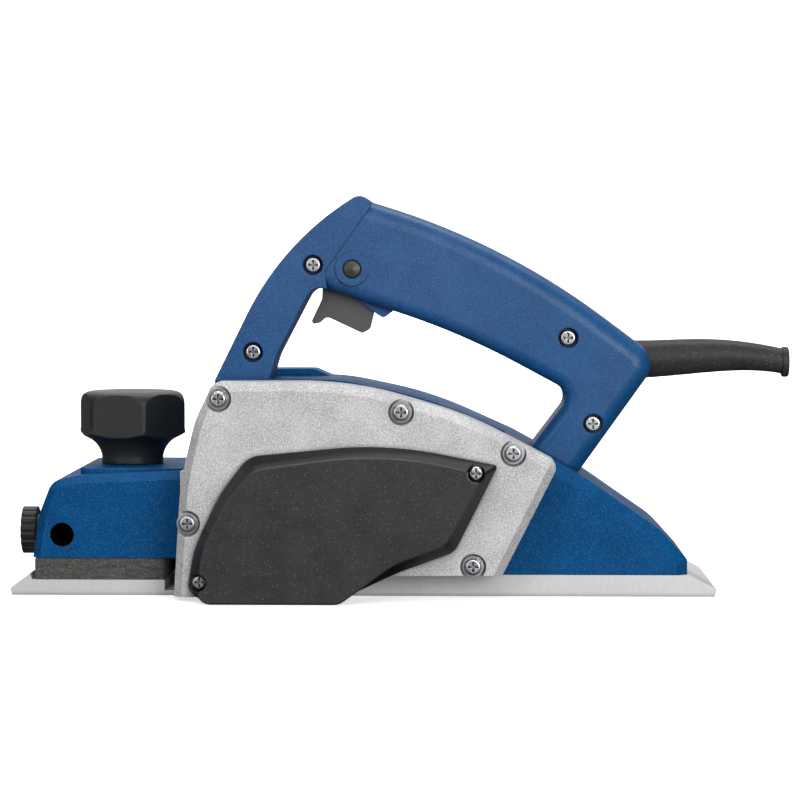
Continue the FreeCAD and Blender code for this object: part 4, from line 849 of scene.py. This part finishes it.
class PLANER_OT_studio(bpy.types.Operator):
    """Set the camera, the pale sweep and the soft lights"""
    bl_idname = "planer.studio"
    bl_label = "Studio"

    def aim(self, holder, place, target):
        holder.location = place
        holder.rotation_euler = (Vector(target) - Vector(place)).to_track_quat("-Z", "Y").to_euler()

    def area(self, context, name, place, target, width, height, power):
        lamp = bpy.data.lights.new(name, "AREA")
        lamp.shape = "RECTANGLE"
        lamp.size = width
        lamp.size_y = height
        lamp.energy = power
        holder = bpy.data.objects.new(name, lamp)
        context.scene.collection.objects.link(holder)
        self.aim(holder, place, target)

    def execute(self, context):
        studio = context.scene.planer_studio
        lens = bpy.data.cameras.new("Camera")
        lens.sensor_width = 36.0
        lens.lens = studio.lens
        lens.clip_end = 20.0
        camera = bpy.data.objects.new("Camera", lens)
        context.scene.collection.objects.link(camera)
        self.aim(camera, studio.camera_place, studio.camera_aim)
        context.scene.camera = camera

        profile = [(SWEEP_NEAR, 0.0), (SWEEP_FAR, 0.0)]
        for step in range(1, SWEEP_STEPS + 1):
            turn = math.radians(90.0 * step / SWEEP_STEPS)
            profile.append((SWEEP_FAR + SWEEP_CURVE * math.sin(turn), SWEEP_CURVE * (1.0 - math.cos(turn))))
        profile.append((SWEEP_FAR + SWEEP_CURVE, SWEEP_TOP))
        mesh = bpy.data.meshes.new("sweep")
        points = [(side * SWEEP_HALF_WIDTH, y, z) for y, z in profile for side in (-1, 1)]
        faces = [(2 * n, 2 * n + 1, 2 * n + 3, 2 * n + 2) for n in range(len(profile) - 1)]
        mesh.from_pydata(points, [], faces)
        smooth(mesh)
        paper = Finish("Sweep paper", srgb(246, 246, 246), roughness=0.9)
        paper.grain(spacing=0.004, depth=0.02, tone=srgb(240, 240, 240), amount=0.3)
        seen = paper.wires.add("ShaderNodeLightPath").outputs["Is Camera Ray"]
        place = paper.wires.add("ShaderNodeSeparateXYZ", {"Vector": paper.place}).outputs["Z"]
        near = paper.wires.spread(place, PAPER_DARK_Z, PAPER_PALE_Z, 1.0, PAPER_PALE_SHARE)
        unseen = paper.wires.sum("SUBTRACT", 1.0, seen)
        paper.tint(paper.wires.sum("MULTIPLY", near, unseen), srgb(66, 66, 66), amount=1.0)
        paper.sockets["Emission Color"] = (1.0, 1.0, 1.0, 1.0)
        paper.sockets["Emission Strength"] = paper.wires.sum("MULTIPLY", seen, PAPER_GLOW)
        sweep = bpy.data.objects.new("sweep", mesh)
        context.scene.collection.objects.link(sweep)
        mesh.materials.append(paper.done())

        world = bpy.data.worlds.new("Studio sky")
        world.use_nodes = True
        backdrop = world.node_tree.nodes["Background"]
        backdrop.inputs["Color"].default_value = (1.0, 1.0, 1.0, 1.0)
        wires = Wiring(world.node_tree)
        seen = wires.add("ShaderNodeLightPath").outputs["Is Camera Ray"]
        wires.join(wires.spread(seen, 0.0, 1.0, studio.sky, 1.0), backdrop.inputs["Strength"])
        context.scene.world = world
        context.scene.view_settings.view_transform = "Standard"
        self.area(context, "Key light", place=(-0.10, -1.20, 0.95), target=(0.0, 0.0, 0.08),
                  width=1.4, height=0.45, power=studio.key_power)
        self.area(context, "Fill light", place=(0.75, -1.35, 0.25), target=(0.0, 0.0, 0.05),
                  width=0.8, height=0.7, power=studio.fill_power)
        self.area(context, "Side light", place=(-0.90, -1.25, 0.25), target=(0.0, 0.0, 0.05),
                  width=0.7, height=0.7, power=studio.side_power)
        self.area(context, "Sweep light", place=(0.0, 0.6, 2.0), target=(0.0, 1.8, 0.4),
                  width=2.6, height=0.6, power=studio.sweep_power)
        return {"FINISHED"}


PIECE_OPERATORS = (
    PLANER_OT_blue_shell, PLANER_OT_side_bracket, PLANER_OT_belt_cover, PLANER_OT_sole, PLANER_OT_foam_seal,
    PLANER_OT_fasteners, PLANER_OT_knobs, PLANER_OT_cutter, PLANER_OT_drive, PLANER_OT_motor,
    PLANER_OT_controls, PLANER_OT_studio,
)


class PLANER_PT_sidebar(bpy.types.Panel):
    """Lists the planer's pieces and its settings"""
    bl_idname = "PLANER_PT_sidebar"
    bl_label = "Hand planer"
    bl_space_type = "VIEW_3D"
    bl_region_type = "UI"
    bl_category = "Planer"

    def draw(self, context):
        for group in ("planer_colours", "planer_detail", "planer_studio"):
            settings = getattr(context.scene, group)
            box = self.layout.box()
            for name in settings.__annotations__:
                box.prop(settings, name)
        for operator in PIECE_OPERATORS:
            self.layout.operator(operator.bl_idname)


CLASSES = (PlanerColours, PlanerDetail, PlanerStudio, *PIECE_OPERATORS, PLANER_PT_sidebar)


def register():
    for item in CLASSES:
        bpy.utils.register_class(item)
    bpy.types.Scene.planer_colours = bpy.props.PointerProperty(type=PlanerColours)
    bpy.types.Scene.planer_detail = bpy.props.PointerProperty(type=PlanerDetail)
    bpy.types.Scene.planer_studio = bpy.props.PointerProperty(type=PlanerStudio)


def unregister():
    del bpy.types.Scene.planer_studio
    del bpy.types.Scene.planer_detail
    del bpy.types.Scene.planer_colours
    for item in reversed(CLASSES):
        bpy.utils.unregister_class(item)


def main():
    register()
    for operator in PIECE_OPERATORS:
        group, action = operator.bl_idname.split(".")
        getattr(getattr(bpy.ops, group), action)()


if __name__ == "__main__":
    main()
